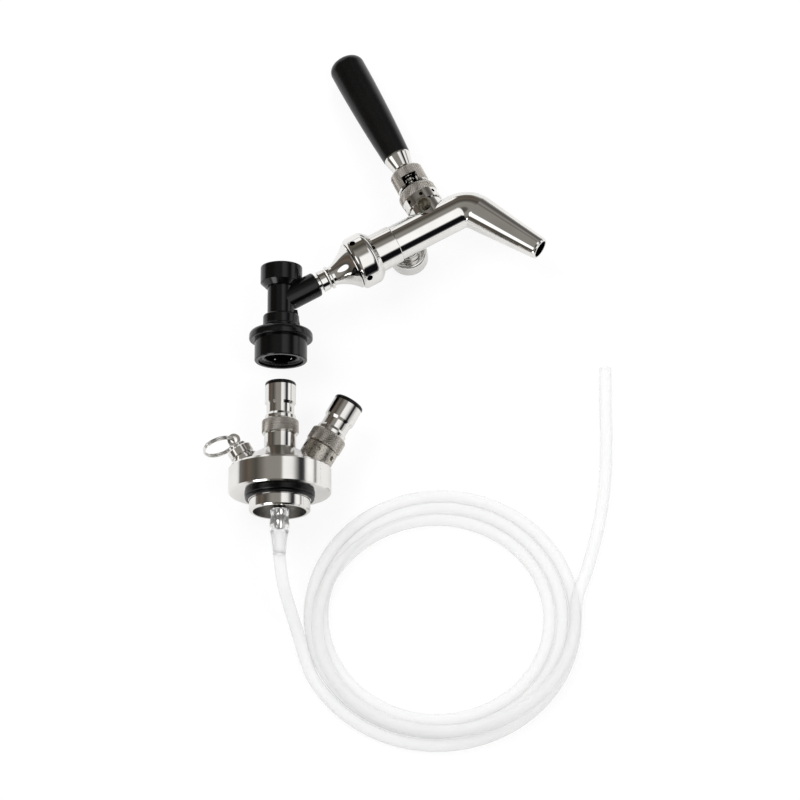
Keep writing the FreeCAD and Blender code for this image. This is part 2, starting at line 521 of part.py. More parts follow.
# Faucet body: barrel, bend and spout, with the nest of the lever and the boss of the throttle
def faucet_pieces():
    body = new_body("faucet_body", FAUCET)
    sideways = Rotation(Z_AXIS, -90)
    barrel = draw(body, "barrel_outline", [
        ("0", "washer_end"), ("thread_radius", "washer_end"), ("thread_radius", "thread_end"),
        ("heel_radius", "thread_end"), ("heel_radius - 0.3", "heel_end - 0.5"), ("body_radius", "heel_end"),
        ("body_radius", "bend_start"), ("0", "bend_start")], "XY_Plane", place(turn=sideways))
    revolve(body, barrel, "barrel")
    bend_frame = place(0, 0, 0, Rotation())
    bend_frame = Placement(Vector(-size("bend_radius"), 0, size("bend_start")), Rotation())
    bend = draw_circles(body, "bend_outline", [("bend_radius", "0", "body_radius")], "YZ_Plane", bend_frame)
    revolve(body, bend, "bend", size("spout_drop"), reverse=True)
    spout_frame = spout_sketch_frame()
    spout = draw(body, "spout_outline", [
        ("0", "0"), ("body_radius", "0"), ("tip_radius + 0.25", "spout_length - 1.6"),
        ("tip_radius", "spout_length - 0.6"), ("tip_radius - 0.4", "spout_length"), ("0", "spout_length")],
        "XY_Plane", spout_frame)
    revolve(body, spout, "spout")
    nest = draw(body, "nest_outline", [
        ("0", "0"), ("nest_radius", "0"), ("nest_radius", "pivot_height - bonnet_low - 0.3"),
        ("nest_radius - 0.6", "pivot_height - bonnet_low - 0.3"), ("nest_radius - 0.6", "nest_top"),
        ("0", "nest_top")], "XY_Plane", place(size("handle_place")))
    revolve(body, nest, "nest")
    boss = draw(body, "boss_outline", [
        ("0", "0"), ("boss_radius", "0"), ("boss_radius", "-boss_height + 0.5"),
        ("boss_radius - 0.5", "-boss_height"), ("0", "-boss_height")],
        "XZ_Plane", place(size("throttle_place")))
    revolve(body, boss, "boss")
    cut_faucet(body, sideways, bend_frame, spout_frame)
    return body


def spout_sketch_frame():
    """Frame of the spout's outline, whose upright axis runs down the spout."""
    drop = math.radians(size("spout_drop"))
    radius = size("bend_radius")
    start = Vector(size("bend_start") + radius * math.sin(drop), radius * (math.cos(drop) - 1), 0)
    return Placement(start, Rotation(Z_AXIS, -90 - size("spout_drop")))


def cut_faucet(body, sideways, bend_frame, spout_frame):
    """Hollows of the faucet's body."""
    hollow = draw(body, "hollow_outline", [
        ("0", "washer_end"), ("body_bore", "washer_end"), ("body_bore", "web_start"),
        ("web_bore", "web_start"), ("web_bore", "web_end"), ("body_bore", "web_end"),
        ("body_bore", "seat_start - 1.8"), ("spout_bore", "seat_start - 0.8"), ("spout_bore", "bend_start"),
        ("0", "bend_start")],
        "XY_Plane", place(turn=sideways))
    revolve(body, hollow, "hollow", cut=True)
    elbow = draw_circles(body, "elbow_outline", [("bend_radius", "0", "spout_bore")], "YZ_Plane", bend_frame)
    revolve(body, elbow, "elbow_hollow", size("spout_drop"), cut=True, reverse=True)
    mouth = draw(body, "mouth_outline", [
        ("0", "0"), ("spout_bore", "0"), ("spout_bore", "spout_length + 1"), ("0", "spout_length + 1")],
        "XY_Plane", spout_frame)
    revolve(body, mouth, "spout_hollow", cut=True)
    nest = draw(body, "nest_hollow_outline", [
        ("0", "nest_floor"), ("nest_bore", "nest_floor"), ("nest_bore", "nest_top + 1"), ("0", "nest_top + 1")],
        "XY_Plane", place(size("handle_place")))
    revolve(body, nest, "nest_hollow", cut=True)
    slot = draw(body, "finger_slot_outline", [
        ("handle_place - 9.6", "0"), ("handle_place + 3", "0"), ("handle_place + 3", "nest_floor + 0.5"),
        ("handle_place - 7", "nest_floor + 0.5")], "XY_Plane")
    pocket(body, "finger_slot", slot, "2 * finger_ball + 0.8", midplane=True)
    bore = draw(body, "throttle_outline", [
        ("0", "8.8"), ("throttle_bore", "8.8"), ("throttle_bore", "-gland_floor"),
        ("gland_bore", "-gland_floor"), ("gland_bore", "-boss_height - 1"), ("0", "-boss_height - 1")],
        "XZ_Plane", place(size("throttle_place")))
    revolve(body, bore, "throttle_hollow", cut=True)


# Lever, handle and the shuttle that the lever moves
def handle_pieces():
    lever = turned("lever", HANDLE, [
        ("0", "-pivot_height - finger_ball"),
        ("finger_radius", "-pivot_height + sqrt(finger_ball ^ 2 - finger_radius ^ 2)", "finger_ball"),
        ("finger_radius", "-sqrt(ball_size ^ 2 - finger_radius ^ 2)"),
        ("lever_neck - 0.4", "sqrt(ball_size ^ 2 - (lever_neck - 0.4) ^ 2)", "ball_size"),
        ("0", "ball_size - 0.4")])
    stud = draw(lever, "stud_outline", [
        ("0", "ball_size - 2"), ("lever_neck", "ball_size - 2"), ("lever_neck", "dome_radius + 1"),
        ("lever_stud", "dome_radius + 2"), ("lever_stud", "ferrule_high + 4.8"),
        ("0", "ferrule_high + 4.8")], "XZ_Plane", place(turn=Rotation(Z_AXIS, -size("handle_lean"))))
    revolve(lever, stud, "stud")
    turned("lever_bushing", HANDLE, [
        ("4.5", "-5"), ("nest_bore - 0.05", "-5"), ("nest_bore - 0.05", "-0.8"),
        ("sqrt(ball_room ^ 2 - 0.8 ^ 2)", "-0.8"), ("4.5", "-sqrt(ball_room ^ 2 - 4.5 ^ 2)", "-ball_room")])
    turned("friction_ring", HANDLE, [
        ("sqrt(ball_room ^ 2 - 0.6 ^ 2)", "-0.6", "-ball_room"), ("nest_bore - 0.05", "-0.6"),
        ("nest_bore - 0.05", "2.3"), ("sqrt(ball_room ^ 2 - 2.3 ^ 2)", "2.3")])
    bonnet_piece()
    skirt = turned("lever_skirt", LEAN, [
        ("skirt_bore", "sqrt(skirt_dome ^ 2 - skirt_bore ^ 2)"),
        ("skirt_radius", "sqrt(skirt_dome ^ 2 - skirt_radius ^ 2)", "-skirt_dome"),
        ("skirt_radius", "skirt_top - 1"), ("skirt_radius - 0.8", "skirt_top"),
        ("lever_stud", "skirt_top"), ("lever_stud", "skirt_top - 1.9"), ("skirt_bore", "skirt_top - 1.9")])
    window = draw(skirt, "window_outline", [
        ("-4.8", "skirt_bore"), ("3.6", "skirt_bore"), ("3.6", "13.9"), ("-4.8", "13.9")], "XZ_Plane")
    pocket(skirt, "window", window, "skirt_radius + 1", reverse=True)
    turned("handle_ferrule", LEAN, [
        ("lever_stud", "ferrule_low"), ("5.4", "ferrule_low"), ("5.8", "ferrule_low + 0.4"),
        ("grip_low - 0.2", "ferrule_high - 0.9"), ("grip_low - 0.2", "ferrule_high"),
        ("lever_stud", "ferrule_high")])
    turned("handle_grip", LEAN, [
        ("lever_stud", "ferrule_high"), ("grip_low - 0.3", "ferrule_high"),
        ("grip_low", "ferrule_high + 0.4"), ("grip_high", "grip_top - 6.4", "900"),
        ("grip_high - 4.4", "grip_top - 1.2", "5.6"),
        ("0", "grip_top", "((grip_high - 4.4) ^ 2 + 1.2 ^ 2) / 2.4"),
        ("0", "ferrule_high + 5.2"), ("lever_stud", "ferrule_high + 5.2")])
    shuttle_pieces()


def bonnet_piece():
    """Domed nut over the lever's ball, slotted as far as the lever tilts."""
    bonnet = turned("bonnet", HANDLE, [
        ("nest_radius - 0.6", "-bonnet_low"), ("bonnet_radius - 0.5", "-bonnet_low"),
        ("bonnet_radius", "0.5 - bonnet_low"), ("bonnet_radius", "sqrt(dome_radius ^ 2 - bonnet_radius ^ 2)"),
        ("0", "dome_radius", "dome_radius"), ("0", "ball_room + 0.3"),
        ("sqrt((ball_room + 0.3) ^ 2 - 2.4 ^ 2)", "2.4", "-(ball_room + 0.3)"), ("nest_bore + 0.05", "2.4"),
        ("nest_bore + 0.05", "-1.4"), ("nest_radius - 0.6", "-1.4")])
    room = "(lever_neck + 0.8)"
    sweep = draw(bonnet, "slot_sweep_outline", [
        ("2", "-" + room), ("dome_radius + 1", "-" + room),
        ("dome_radius + 1", room), ("2", room)], "YZ_Plane",
        Placement(ORIGIN, Rotation(Z_AXIS, 90)))
    revolve(bonnet, sweep, "slot_sweep", size("handle_tilt"), cut=True, reverse=True)
    for name, angle in (("slot_start", 0), ("slot_end", size("handle_tilt"))):
        frame = Placement(ORIGIN, Rotation(Z_AXIS, -angle))
        bored(bonnet, name, [("0", "2"), (room, "2"), (room, "dome_radius + 1"),
                             ("0", "dome_radius + 1")], frame)
    spanner = draw_circles(bonnet, "pin_hole_outline", [("0", "-1.6", "1.1")], "XZ_Plane",
                           place(0, 0, size("bonnet_radius - 0.9")))
    first = pocket(bonnet, "pin_hole", spanner, "3", reverse=True)
    ring_of(bonnet, "pin_holes", first, 8)
    screw = FAUCET * place(size("handle_place - 1.4"), size("pivot_height - bonnet_low - 2"), 0)
    turned("bonnet_lock_screw", screw, [
        ("0", "bonnet_radius - 4"), ("1.4", "bonnet_radius - 4"), ("1.4", "bonnet_radius + 0.1"),
        ("4.1", "bonnet_radius + 0.1"), ("0", "bonnet_radius + 2.9", "(4.1 ^ 2 + 2.8 ^ 2) / 5.6")])


def shuttle_pieces():
    """Sliding valve that the lever's finger draws back from its seat."""
    shuttle = turned("shuttle", along_faucet("handle_place - 4"), [
        ("0", "0"), ("shuttle_radius", "0"), ("shuttle_radius", "6.6"), ("3.4", "6.6"), ("3.4", "9.1"),
        ("5.4", "9.1"), ("4.4", "9.9"), ("0", "9.9")])
    slot = draw(shuttle, "finger_room_outline", [
        ("-3.4", "4 - 2.85"), ("4.1", "4 - 2.85"), ("4.1", "-1"), ("8", "-1"), ("8", "11"), ("4.1", "11"),
        ("4.1", "4 + 2.85"), ("-3.4", "4 + 2.85")], "YZ_Plane")
    pocket(shuttle, "finger_room", slot, "2 * finger_ball + 0.8", midplane=True)
    o_ring("seat_o_ring", along_faucet("handle_place - 4"), "4.45", "8.15", "0.9")


# Throttle that sets the flow, with the knob at the back of the faucet
def throttle_pieces():
    stem = turned("throttle_stem", THROTTLE, [
        ("0", "-8.6"), ("throttle_bore - 0.05", "-8.6"), ("throttle_bore - 0.05", "gland_floor - 0.1"),
        ("pin_hole", "gland_floor - 0.1"), ("pin_hole", "knob_high - 1.6"), ("1.2", "knob_high - 1.6"),
        ("1.2", "knob_high - 8.2"), ("0", "knob_high - 8.2")])
    way = draw_circles(stem, "flow_way_outline", [("0", "0", "web_bore - 0.2")], "YZ_Plane")
    pocket(stem, "flow_way", way, "4 * throttle_bore", midplane=True)
    o_ring("throttle_o_ring", THROTTLE, "3.9", "gland_floor + 1.2", "1.15")
    turned("throttle_gland", THROTTLE, [
        ("pin_hole + 0.05", "gland_floor + 2.4"), ("gland_bore - 0.05", "gland_floor + 2.4"),
        ("gland_bore - 0.05", "boss_height"), ("boss_radius + 0.4", "boss_height"),
        ("boss_radius + 0.4", "knob_low - 0.9"), ("boss_radius - 0.2", "knob_low - 0.4"),
        ("pin_hole + 0.05", "knob_low - 0.4")])
    turned("throttle_knob", THROTTLE, [
        ("pin_hole", "knob_low"), ("knob_radius - 1.6", "knob_low"), ("knob_radius", "knob_low + 1.6", "1.6"),
        ("knob_radius", "knob_high - 2"), ("knob_radius - 2", "knob_high", "2"), ("5.4", "knob_high"),
        ("5.4", "knob_high - 1.4"), ("pin_hole", "knob_high - 1.4")])
    turned("knob_screw", THROTTLE, [
        ("0", "knob_high - 8"), ("1.2", "knob_high - 8"), ("1.2", "knob_high - 1.4"),
        ("3.2", "knob_high - 1.4"), ("3.2", "knob_high - 0.6"), ("2.6", "knob_high - 0.1"),
        ("0", "knob_high - 0.1")])


# Hose, from the stub to its bare end. The routes are its centre line, in millimetres
LEAD_ROUTE = [(0, -34, 0), (0.5, -48, -2.5), (3, -62, -12.5), (7, -75.5, -21.5),
              (12, -89, -25), (20, -101.2, -25)]
FREE_ROUTE = [(160.5, -68, -25), (164, -54, -25), (169.6, -39, -25), (174.4, -22, -25), (178.8, -3, -25),
              (181.2, 18, -25), (182, 40, -25), (181.5, 61, -25), (181.9, 80.5, -25)]


def hose_tube(label, route):
    """Plain tube along a route: straight runs joined by tangent arcs."""
    points = [Vector(*point) for point in route]
    edges = []
    radii = []
    last = points[0]
    for before, corner, after in zip(points, points[1:], points[2:]):
        into = (corner - before).normalize()
        out = (after - corner).normalize()
        turn = into.getAngle(out)
        trim = 0.45 * min((corner - before).Length, (after - corner).Length)
        radii.append(trim / math.tan(turn / 2))
        begin = corner - into * trim
        finish = corner + out * trim
        middle = corner + (out - into).normalize() * (radii[-1] * (1 / math.cos(turn / 2) - 1))
        edges.append(Part.LineSegment(last, begin).toShape())
        edges.append(Part.Arc(begin, middle, finish).toShape())
        last = finish
    edges.append(Part.LineSegment(last, points[-1]).toShape())
    path = Part.Wire(edges)
    radius = size("hose_radius")
    section = Part.Wire(Part.makeCircle(radius, points[0], points[1] - points[0]))
    tube = path.makePipeShell([section], True, False)
    expected = math.pi * radius ** 2 * path.Length
    print(f"{label}: length {path.Length:.1f}, radii {[round(value, 1) for value in radii]}, "
          f"volume {tube.Volume:.0f} of {expected:.0f}")
    hose = doc.addObject("Part::Feature", label)
    hose.Label = label
    hose.Shape = tube
    PARTS[label] = hose


def oval_prism(name, length, width):
    """Upright prism with an oval outline, standing on the table."""
    oval = doc.addObject("Part::Ellipse", name + "_outline")
    oval.setExpression("MajorRadius", bound(f"({length}) / 2"))
    oval.setExpression("MinorRadius", bound(f"({width}) / 2"))
    oval.Placement = place(size("coil_x"), size("coil_y"), -size("table_level"))
    prism = doc.addObject("Part::Extrusion", name)
    prism.Base = oval
    prism.Dir = Z_AXIS
    prism.setExpression("LengthFwd", bound("coil_height"))
    prism.Solid = True
    doc.recompute()
    return prism


def hose_pieces():
    turned("hose_cuff", HEAD, [
        ("stub_radius + barb_rise", "-cuff_start"), ("cuff_radius - 0.4", "-cuff_start"),
        ("cuff_radius", "-cuff_start - 0.5"), ("cuff_radius", "-stub_end - 2"),
        ("hose_radius + 0.2", "-cuff_end"), ("stub_bore", "-cuff_end"),
        ("stub_bore", "-stub_end - 1"), ("stub_radius + barb_rise", "-stub_end - 0.1")])
    hose_tube("hose_lead", LEAD_ROUTE)
    outer = oval_prism("coil_outside", "coil_length", "coil_width")
    inner = oval_prism("coil_inside", "coil_length - 2 * coil_ring", "coil_width - 2 * coil_ring")
    ring = doc.addObject("Part::Cut", "coil_ring_block")
    ring.Base = outer
    ring.Tool = inner
    doc.recompute()
    coil = doc.addObject("Part::Fillet", "hose_coil")
    coil.Label = "hose_coil"
    coil.Base = ring
    top = size("coil_height - table_level")
    radius = size("coil_round")
    coil.Edges = [(index, radius, radius) for index, edge in enumerate(ring.Shape.Edges, start=1)
                  if abs(edge.BoundBox.ZMin - top) < 0.01]
    PARTS["hose_coil"] = coil
    hose_tube("hose_free_end", FREE_ROUTE)


cap_pieces()
post_pieces("liquid", LIQUID_PORT, "foot_radius", "0", "stud_radius / 2")
gas_post = post_pieces("gas", GAS_PORT, "ring_radius - 0.2", "spot_face", "stud_passage")
foot_dimples(gas_post)
relief_pieces()
disconnect_pieces()
coupling_pieces()
faucet_pieces()
handle_pieces()
throttle_pieces()
hose_pieces()
doc.recompute()

for item in doc.Objects:
    if "Invalid" in item.State or "Error" in item.State:
        raise ValueError(f"{item.Name} failed: {item.State}")
os.makedirs("parts", exist_ok=True)
for label, item in PARTS.items():
    shape = item.Shape
    if shape.isNull() or not shape.isValid():
        raise ValueError(f"{label} has no valid shape")
    shape.exportStep(f"parts/{label}.step")
    print(f"{label}: {shape.Volume:.0f} mm3, {len(shape.Solids)} solid")
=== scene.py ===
import logging
import math
from dataclasses import dataclass, field, replace
from enum import Enum
from typing import ClassVar

import bmesh
import bpy
from mathutils import Matrix, Vector


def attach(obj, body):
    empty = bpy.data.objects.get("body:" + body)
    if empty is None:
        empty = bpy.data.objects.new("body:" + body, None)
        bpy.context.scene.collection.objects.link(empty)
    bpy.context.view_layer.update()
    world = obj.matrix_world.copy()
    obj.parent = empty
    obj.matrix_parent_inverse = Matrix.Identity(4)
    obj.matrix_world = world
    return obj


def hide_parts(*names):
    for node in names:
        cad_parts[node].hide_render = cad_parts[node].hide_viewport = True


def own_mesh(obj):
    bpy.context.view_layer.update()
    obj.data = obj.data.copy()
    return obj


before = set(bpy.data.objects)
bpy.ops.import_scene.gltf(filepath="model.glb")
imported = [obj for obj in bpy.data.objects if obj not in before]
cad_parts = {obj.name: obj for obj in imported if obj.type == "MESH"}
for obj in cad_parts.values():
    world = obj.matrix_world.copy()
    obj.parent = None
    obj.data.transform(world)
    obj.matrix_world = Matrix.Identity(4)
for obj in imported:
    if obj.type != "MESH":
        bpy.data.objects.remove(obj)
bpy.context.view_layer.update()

LOG = logging.getLogger("keg_dispensing_head")
MM = 0.001

# Sizes that the axes below are laid out by, in millimetres and degrees
CAP_RADIUS = 28.5
WALL_HEIGHT = 14.5
CONE_SLOPE = 30
CONE_TOP_RADIUS = 8.9
PORT_RADIUS = 19.3
DISCONNECT_HEIGHT = 76.8
FAUCET_HEIGHT = 111.4
FAUCET_RISE = 28.5
FAUCET_ROLL = 9.2
HANDLE_ALONG = 98
HANDLE_UP = 17
THROTTLE_ALONG = 79.3
GRIP_LEAN = 2.3

# The cap's wall rests on the table
TABLE_LEVEL = -CAP_RADIUS * MM


def mm(*values: float) -> Vector:
    """A point or direction written in millimetres, in metres."""
    return Vector(values) * MM


@dataclass(frozen=True)
class Axis:
    """A line that round pieces are turned about.

    Args:
        origin: a point on the line, in metres.
        direction: unit vector along the line.
        side: unit vector square to the line, where angle 0 lies.
    """

    origin: Vector
    direction: Vector
    side: Vector

    @property
    def third(self) -> Vector:
        """Unit vector square to the other two."""
        return self.direction.cross(self.side)

    def at(self, height: float, radius: float = 0.0, angle: float = 0.0) -> Vector:
        """A point by its height along the line, radius and angle.

        Args:
            height: metres along the line from the origin.
            radius: metres from the line.
            angle: radians from the side direction.

        Returns:
            The point in the row frame.
        """
        around = self.side * math.cos(angle) + self.third * math.sin(angle)
        return self.origin + self.direction * height + around * radius


def faucet_axes() -> tuple[Vector, Vector, Vector]:
    """Directions of the faucet.

    Returns:
        Unit vectors along the faucet's body, up its handle and out of its front.
    """
    rise, roll = math.radians(FAUCET_RISE), math.radians(FAUCET_ROLL)
    turn = Matrix.Rotation(rise, 3, "Z") @ Matrix.Rotation(-roll, 3, "X")
    return turn.col[0].copy(), turn.col[1].copy(), turn.col[2].copy()


ALONG, UP_HANDLE, FRONT = faucet_axes()
Y_UP = Vector((0, 1, 0))
Z_UP = Vector((0, 0, 1))

# The ports stand square on the cap's cone
SLOPE = math.tan(math.radians(CONE_SLOPE))
CONE_TOP = WALL_HEIGHT + (CAP_RADIUS - CONE_TOP_RADIUS) * SLOPE
PORT_HEIGHT = WALL_HEIGHT + (CAP_RADIUS - PORT_RADIUS) * SLOPE
PORT_OUT, PORT_UP = 0.5, math.sqrt(0.75)

HEAD = Axis(Vector((0, 0, 0)), Y_UP, Z_UP)
LIQUID = Axis(mm(0, CONE_TOP, 0), Y_UP, Z_UP)
GAS = Axis(mm(PORT_RADIUS, PORT_HEIGHT, 0), Vector((PORT_OUT, PORT_UP, 0)), Z_UP)
RELIEF = Axis(mm(-PORT_RADIUS, PORT_HEIGHT, 0), Vector((-PORT_OUT, PORT_UP, 0)), Z_UP)
DISCONNECT = Axis(mm(0, DISCONNECT_HEIGHT, 0), Y_UP, Z_UP)

FAUCET_START = mm(0, FAUCET_HEIGHT, 0)
HANDLE_START = FAUCET_START + ALONG * HANDLE_ALONG * MM + UP_HANDLE * HANDLE_UP * MM
LEAN = math.radians(GRIP_LEAN)
BODY = Axis(FAUCET_START, ALONG, FRONT)
HANDLE = Axis(HANDLE_START, UP_HANDLE, FRONT)
THROTTLE = Axis(FAUCET_START + ALONG * THROTTLE_ALONG * MM, -FRONT, UP_HANDLE)
GRIP = Axis(HANDLE_START, UP_HANDLE * math.cos(LEAN) + ALONG * math.sin(LEAN), FRONT)
LAMP_AIM = mm(70, 55, 0)


# Shader expressions


class Signal:
    """A shader socket that takes part in Python arithmetic."""

    def __init__(self, graph: "Graph", socket: bpy.types.NodeSocket) -> None:
        """Wraps one output socket of a graph."""
        self.graph = graph
        self.socket = socket

    def _math(self, operation: str, *values: "Signal | float") -> "Signal":
        """One Math node.

        Args:
            operation: the node's operation.
            values: its inputs in order.

        Returns:
            The node's result.
        """
        inputs = dict(enumerate(values))
        return self.graph.out("ShaderNodeMath", {"operation": operation}, inputs)

    def __add__(self, other: "Signal | float") -> "Signal":
        """Sum."""
        return self._math("ADD", self, other)

    def __radd__(self, other: float) -> "Signal":
        """Sum with a number first."""
        return self._math("ADD", other, self)

    def __sub__(self, other: "Signal | float") -> "Signal":
        """Difference."""
        return self._math("SUBTRACT", self, other)

    def __rsub__(self, other: float) -> "Signal":
        """Difference from a number."""
        return self._math("SUBTRACT", other, self)

    def __mul__(self, other: "Signal | float") -> "Signal":
        """Product."""
        return self._math("MULTIPLY", self, other)

    def __rmul__(self, other: float) -> "Signal":
        """Product with a number first."""
        return self._math("MULTIPLY", other, self)

    def __truediv__(self, other: "Signal | float") -> "Signal":
        """Quotient."""
        return self._math("DIVIDE", self, other)

    def __gt__(self, other: "Signal | float") -> "Signal":
        """1 where this is the greater, else 0."""
        return self._math("GREATER_THAN", self, other)

    def __lt__(self, other: "Signal | float") -> "Signal":
        """1 where this is the smaller, else 0."""
        return self._math("LESS_THAN", self, other)

    def root(self) -> "Signal":
        """Square root."""
        return self._math("SQRT", self)

    def arccosine(self) -> "Signal":
        """Angle in radians whose cosine this is."""
        return self._math("ARCCOSINE", self)

    def smooth(self, low: float, high: float) -> "Signal":
        """A soft step.

        Args:
            low: value where the result is 0.
            high: value where the result is 1.

        Returns:
            A number from 0 to 1.
        """
        settings = {"interpolation_type": "SMOOTHSTEP"}
        return self.graph.out("ShaderNodeMapRange", settings, {0: self, 1: low, 2: high})


class Graph:
    """The node tree of one material or world."""

    def __init__(self, owner: bpy.types.Material | bpy.types.World) -> None:
        """Empties the owner's node tree and keeps it."""
        owner.use_nodes = True
        self.tree = owner.node_tree
        self.tree.nodes.clear()

    def node(
        self, kind: str, settings: dict | None = None, inputs: dict | None = None
    ) -> bpy.types.Node:
        """Adds one node.

        Args:
            kind: the node's type.
            settings: its options, set before its inputs.
            inputs: values, colours or signals by socket name or index.

        Returns:
            The node.
        """
        made = self.tree.nodes.new(kind)
        for name, value in (settings or {}).items():
            if name == "stops":
                self._set_stops(made.color_ramp, value)
            else:
                setattr(made, name, value)
        for key, value in (inputs or {}).items():
            if isinstance(value, Signal):
                self.tree.links.new(value.socket, made.inputs[key])
            else:
                made.inputs[key].default_value = value
        return made

    def out(
        self,
        kind: str,
        settings: dict | None = None,
        inputs: dict | None = None,
        pick: int | str = 0,
    ) -> Signal:
        """Adds one node and gives one of its outputs."""
        return Signal(self, self.node(kind, settings, inputs).outputs[pick])

    @staticmethod
    def _set_stops(ramp: bpy.types.ColorRamp, stops: list) -> None:
        """Writes a ramp's stops.

        Args:
            ramp: the ramp, as it comes with two stops.
            stops: each a place from 0 to 1 and a colour.
        """
        while len(ramp.elements) < len(stops):
            ramp.elements.new(0.5)
        for element, (place, color) in zip(ramp.elements, stops):
            element.position = place
            element.color = (*color, 1.0)

    def point(self) -> Signal:
        """Position on the piece, in the row frame's metres."""
        return self.out("ShaderNodeTexCoord", pick="Object")

    def vector(
        self, operation: str, first: Signal, second: Signal | tuple, pick: int | str = 0
    ) -> Signal:
        """One Vector Math node."""
        settings = {"operation": operation}
        return self.out("ShaderNodeVectorMath", settings, {0: first, 1: second}, pick)

    def parts(self, vector: Signal) -> list[Signal]:
        """The three coordinates of a vector."""
        split = self.node("ShaderNodeSeparateXYZ", None, {0: vector})
        return [Signal(self, socket) for socket in split.outputs]

    def mix(
        self, factor: Signal | float, first: Signal | tuple, second: Signal | tuple
    ) -> Signal:
        """Blend of two colours.

        Args:
            factor: 0 gives the first, 1 the second.
            first: a colour.
            second: a colour.

        Returns:
            The blend.
        """
        settings = {"data_type": "RGBA"}
        inputs = {0: factor, 6: rgba(first), 7: rgba(second)}
        return self.out("ShaderNodeMix", settings, inputs, 2)

    def noise(self, place: Signal, scale: float, detail: float) -> Signal:
        """Soft random field from 0 to 1."""
        inputs = {"Vector": place, "Scale": scale, "Detail": detail}
        return self.out("ShaderNodeTexNoise", None, inputs)

    def line_noise(self, place: Signal, scale: float) -> Signal:
        """Random field along one coordinate, as a lathe's tool leaves."""
        inputs = {"W": place, "Scale": scale, "Detail": 2.0}
        return self.out("ShaderNodeTexNoise", {"noise_dimensions": "1D"}, inputs)

    def bump(self, height: Signal) -> Signal:
        """Surface direction of a height in metres."""
        inputs = {"Height": height, "Distance": 1.0, "Strength": 1.0}
        return self.out("ShaderNodeBump", None, inputs)

    def height_and_radius(self, axis: Axis) -> tuple[Signal, Signal]:
        """Coordinates about an axis.

        Args:
            axis: the line that the piece is turned about.

        Returns:
            Height along the line and distance from it, in metres.
        """
        away = self.vector("SUBTRACT", self.point(), tuple(axis.origin))
        height = self.vector("DOT_PRODUCT", away, tuple(axis.direction), "Value")
        length = self.vector("LENGTH", away, (0, 0, 0), "Value")
        return height, (length * length - height * height).root()

    def surface(self, inputs: dict) -> None:
        """Ends the graph in one Principled surface."""
        shader = self.out("ShaderNodeBsdfPrincipled", None, inputs)
        self.node("ShaderNodeOutputMaterial", None, {"Surface": shader})


def rgba(color: "Signal | tuple") -> "Signal | tuple":
    """A colour with its alpha, if it is a plain one."""
    return color if isinstance(color, Signal) else (*color[:3], 1.0)


def new_material(name: str) -> tuple[bpy.types.Material, Graph]:
    """An empty material and its graph."""
    material = bpy.data.materials.new(name)
    return material, Graph(material)


# Finishes


class Slot(Enum):
    """Names of material slots for the scene's own pieces, which are not given to them here."""

    POLISHED_STEEL = "polished_steel"
    CHROME = "chrome"
    SPRING_STEEL = "spring_steel"
    CLEAR_HOSE = "clear_hose"


@dataclass(frozen=True)
class Patch:
    """A stretch of a turned metal piece that is coloured otherwise, such as a foot of its own
    finish, painted shade in holes, or painted light in a bore.

    Args:
        low: height on the piece's axis where it starts, in metres.
        high: height where it ends.
        within: radius inside which it lies, in metres.
        color: its reflection's colour.
        duller: how much is added to the roughness.
        mottle: how blotchy it is, from 0 to 1.
    """

    low: float
    high: float
    within: float
    color: tuple[float, float, float]
    duller: float = 0.0
    mottle: float = 0.0


@dataclass(frozen=True)
class MetalFinish:
    """Bare or plated metal, with the fine rings that turning leaves.

    Args:
        color: its reflection's colour.
        roughness: how blurred its reflections are.
        spread: how much the roughness varies over the surface.
        rings: depth of the tool's rings, in metres.
        pitch: rings per metre.
        patches: stretches of the piece that are finished otherwise, or carry painted shade or
            painted light.
    """

    CLOUDS: ClassVar[float] = 55
    SKIN: ClassVar[float] = 340
    SKIN_DEPTH: ClassVar[float] = 0.000004
    BLOTCHES: ClassVar[float] = 1100
    BLOTCH_COLOR: ClassVar[tuple] = (0.05, 0.045, 0.04)
    BLOTCH_DULLER: ClassVar[float] = 0.15

    color: tuple[float, float, float]
    roughness: float
    spread: float = 0.03
    rings: float = 0.0
    pitch: float = 2500.0
    patches: tuple[Patch, ...] = ()

    def make(self, name: str, axis: Axis) -> bpy.types.Material:
        """The finish about one axis.

        Args:
            name: the material's name.
            axis: the line that the piece was turned about.

        Returns:
            The material.
        """
        material, graph = new_material(name)
        place = graph.point()
        height, radius = graph.height_and_radius(axis)
        cloud = graph.noise(place, self.CLOUDS, 4)
        tool = graph.line_noise(height + radius, self.pitch)
        worn = tuple(channel * 0.9 for channel in self.color)
        color = graph.mix(cloud.smooth(0.35, 0.75), self.color, worn)
        roughness = self.roughness + self.spread * cloud + self.spread * 0.6 * tool
        # Patches recolour stretches: a real finish such as a matte foot, painted shade in holes, or
        # painted light in a bore
        for patch in self.patches:
            inside = (height > patch.low) * (height < patch.high) * (radius < patch.within)
            blotch = graph.noise(place, self.BLOTCHES, 2).smooth(0.38, 0.62) - 0.5
            mottle = patch.mottle * blotch * inside
            color = graph.mix(inside, color, patch.color)
            color = graph.mix(mottle * -1, color, self.BLOTCH_COLOR)
            roughness = roughness + patch.duller * inside + self.BLOTCH_DULLER * mottle
        skin = graph.noise(place, self.SKIN, 2) * self.SKIN_DEPTH + tool * self.rings
        graph.surface({
            "Base Color": color, "Metallic": 1.0, "Roughness": roughness,
            "Normal": graph.bump(skin),
        })
        return material

    def dress(self, name: str, axis: Axis, *nodes: str) -> bpy.types.Material:
        """Makes the finish and puts it on CAD nodes."""
        return dress(self.make(name, axis), *nodes)


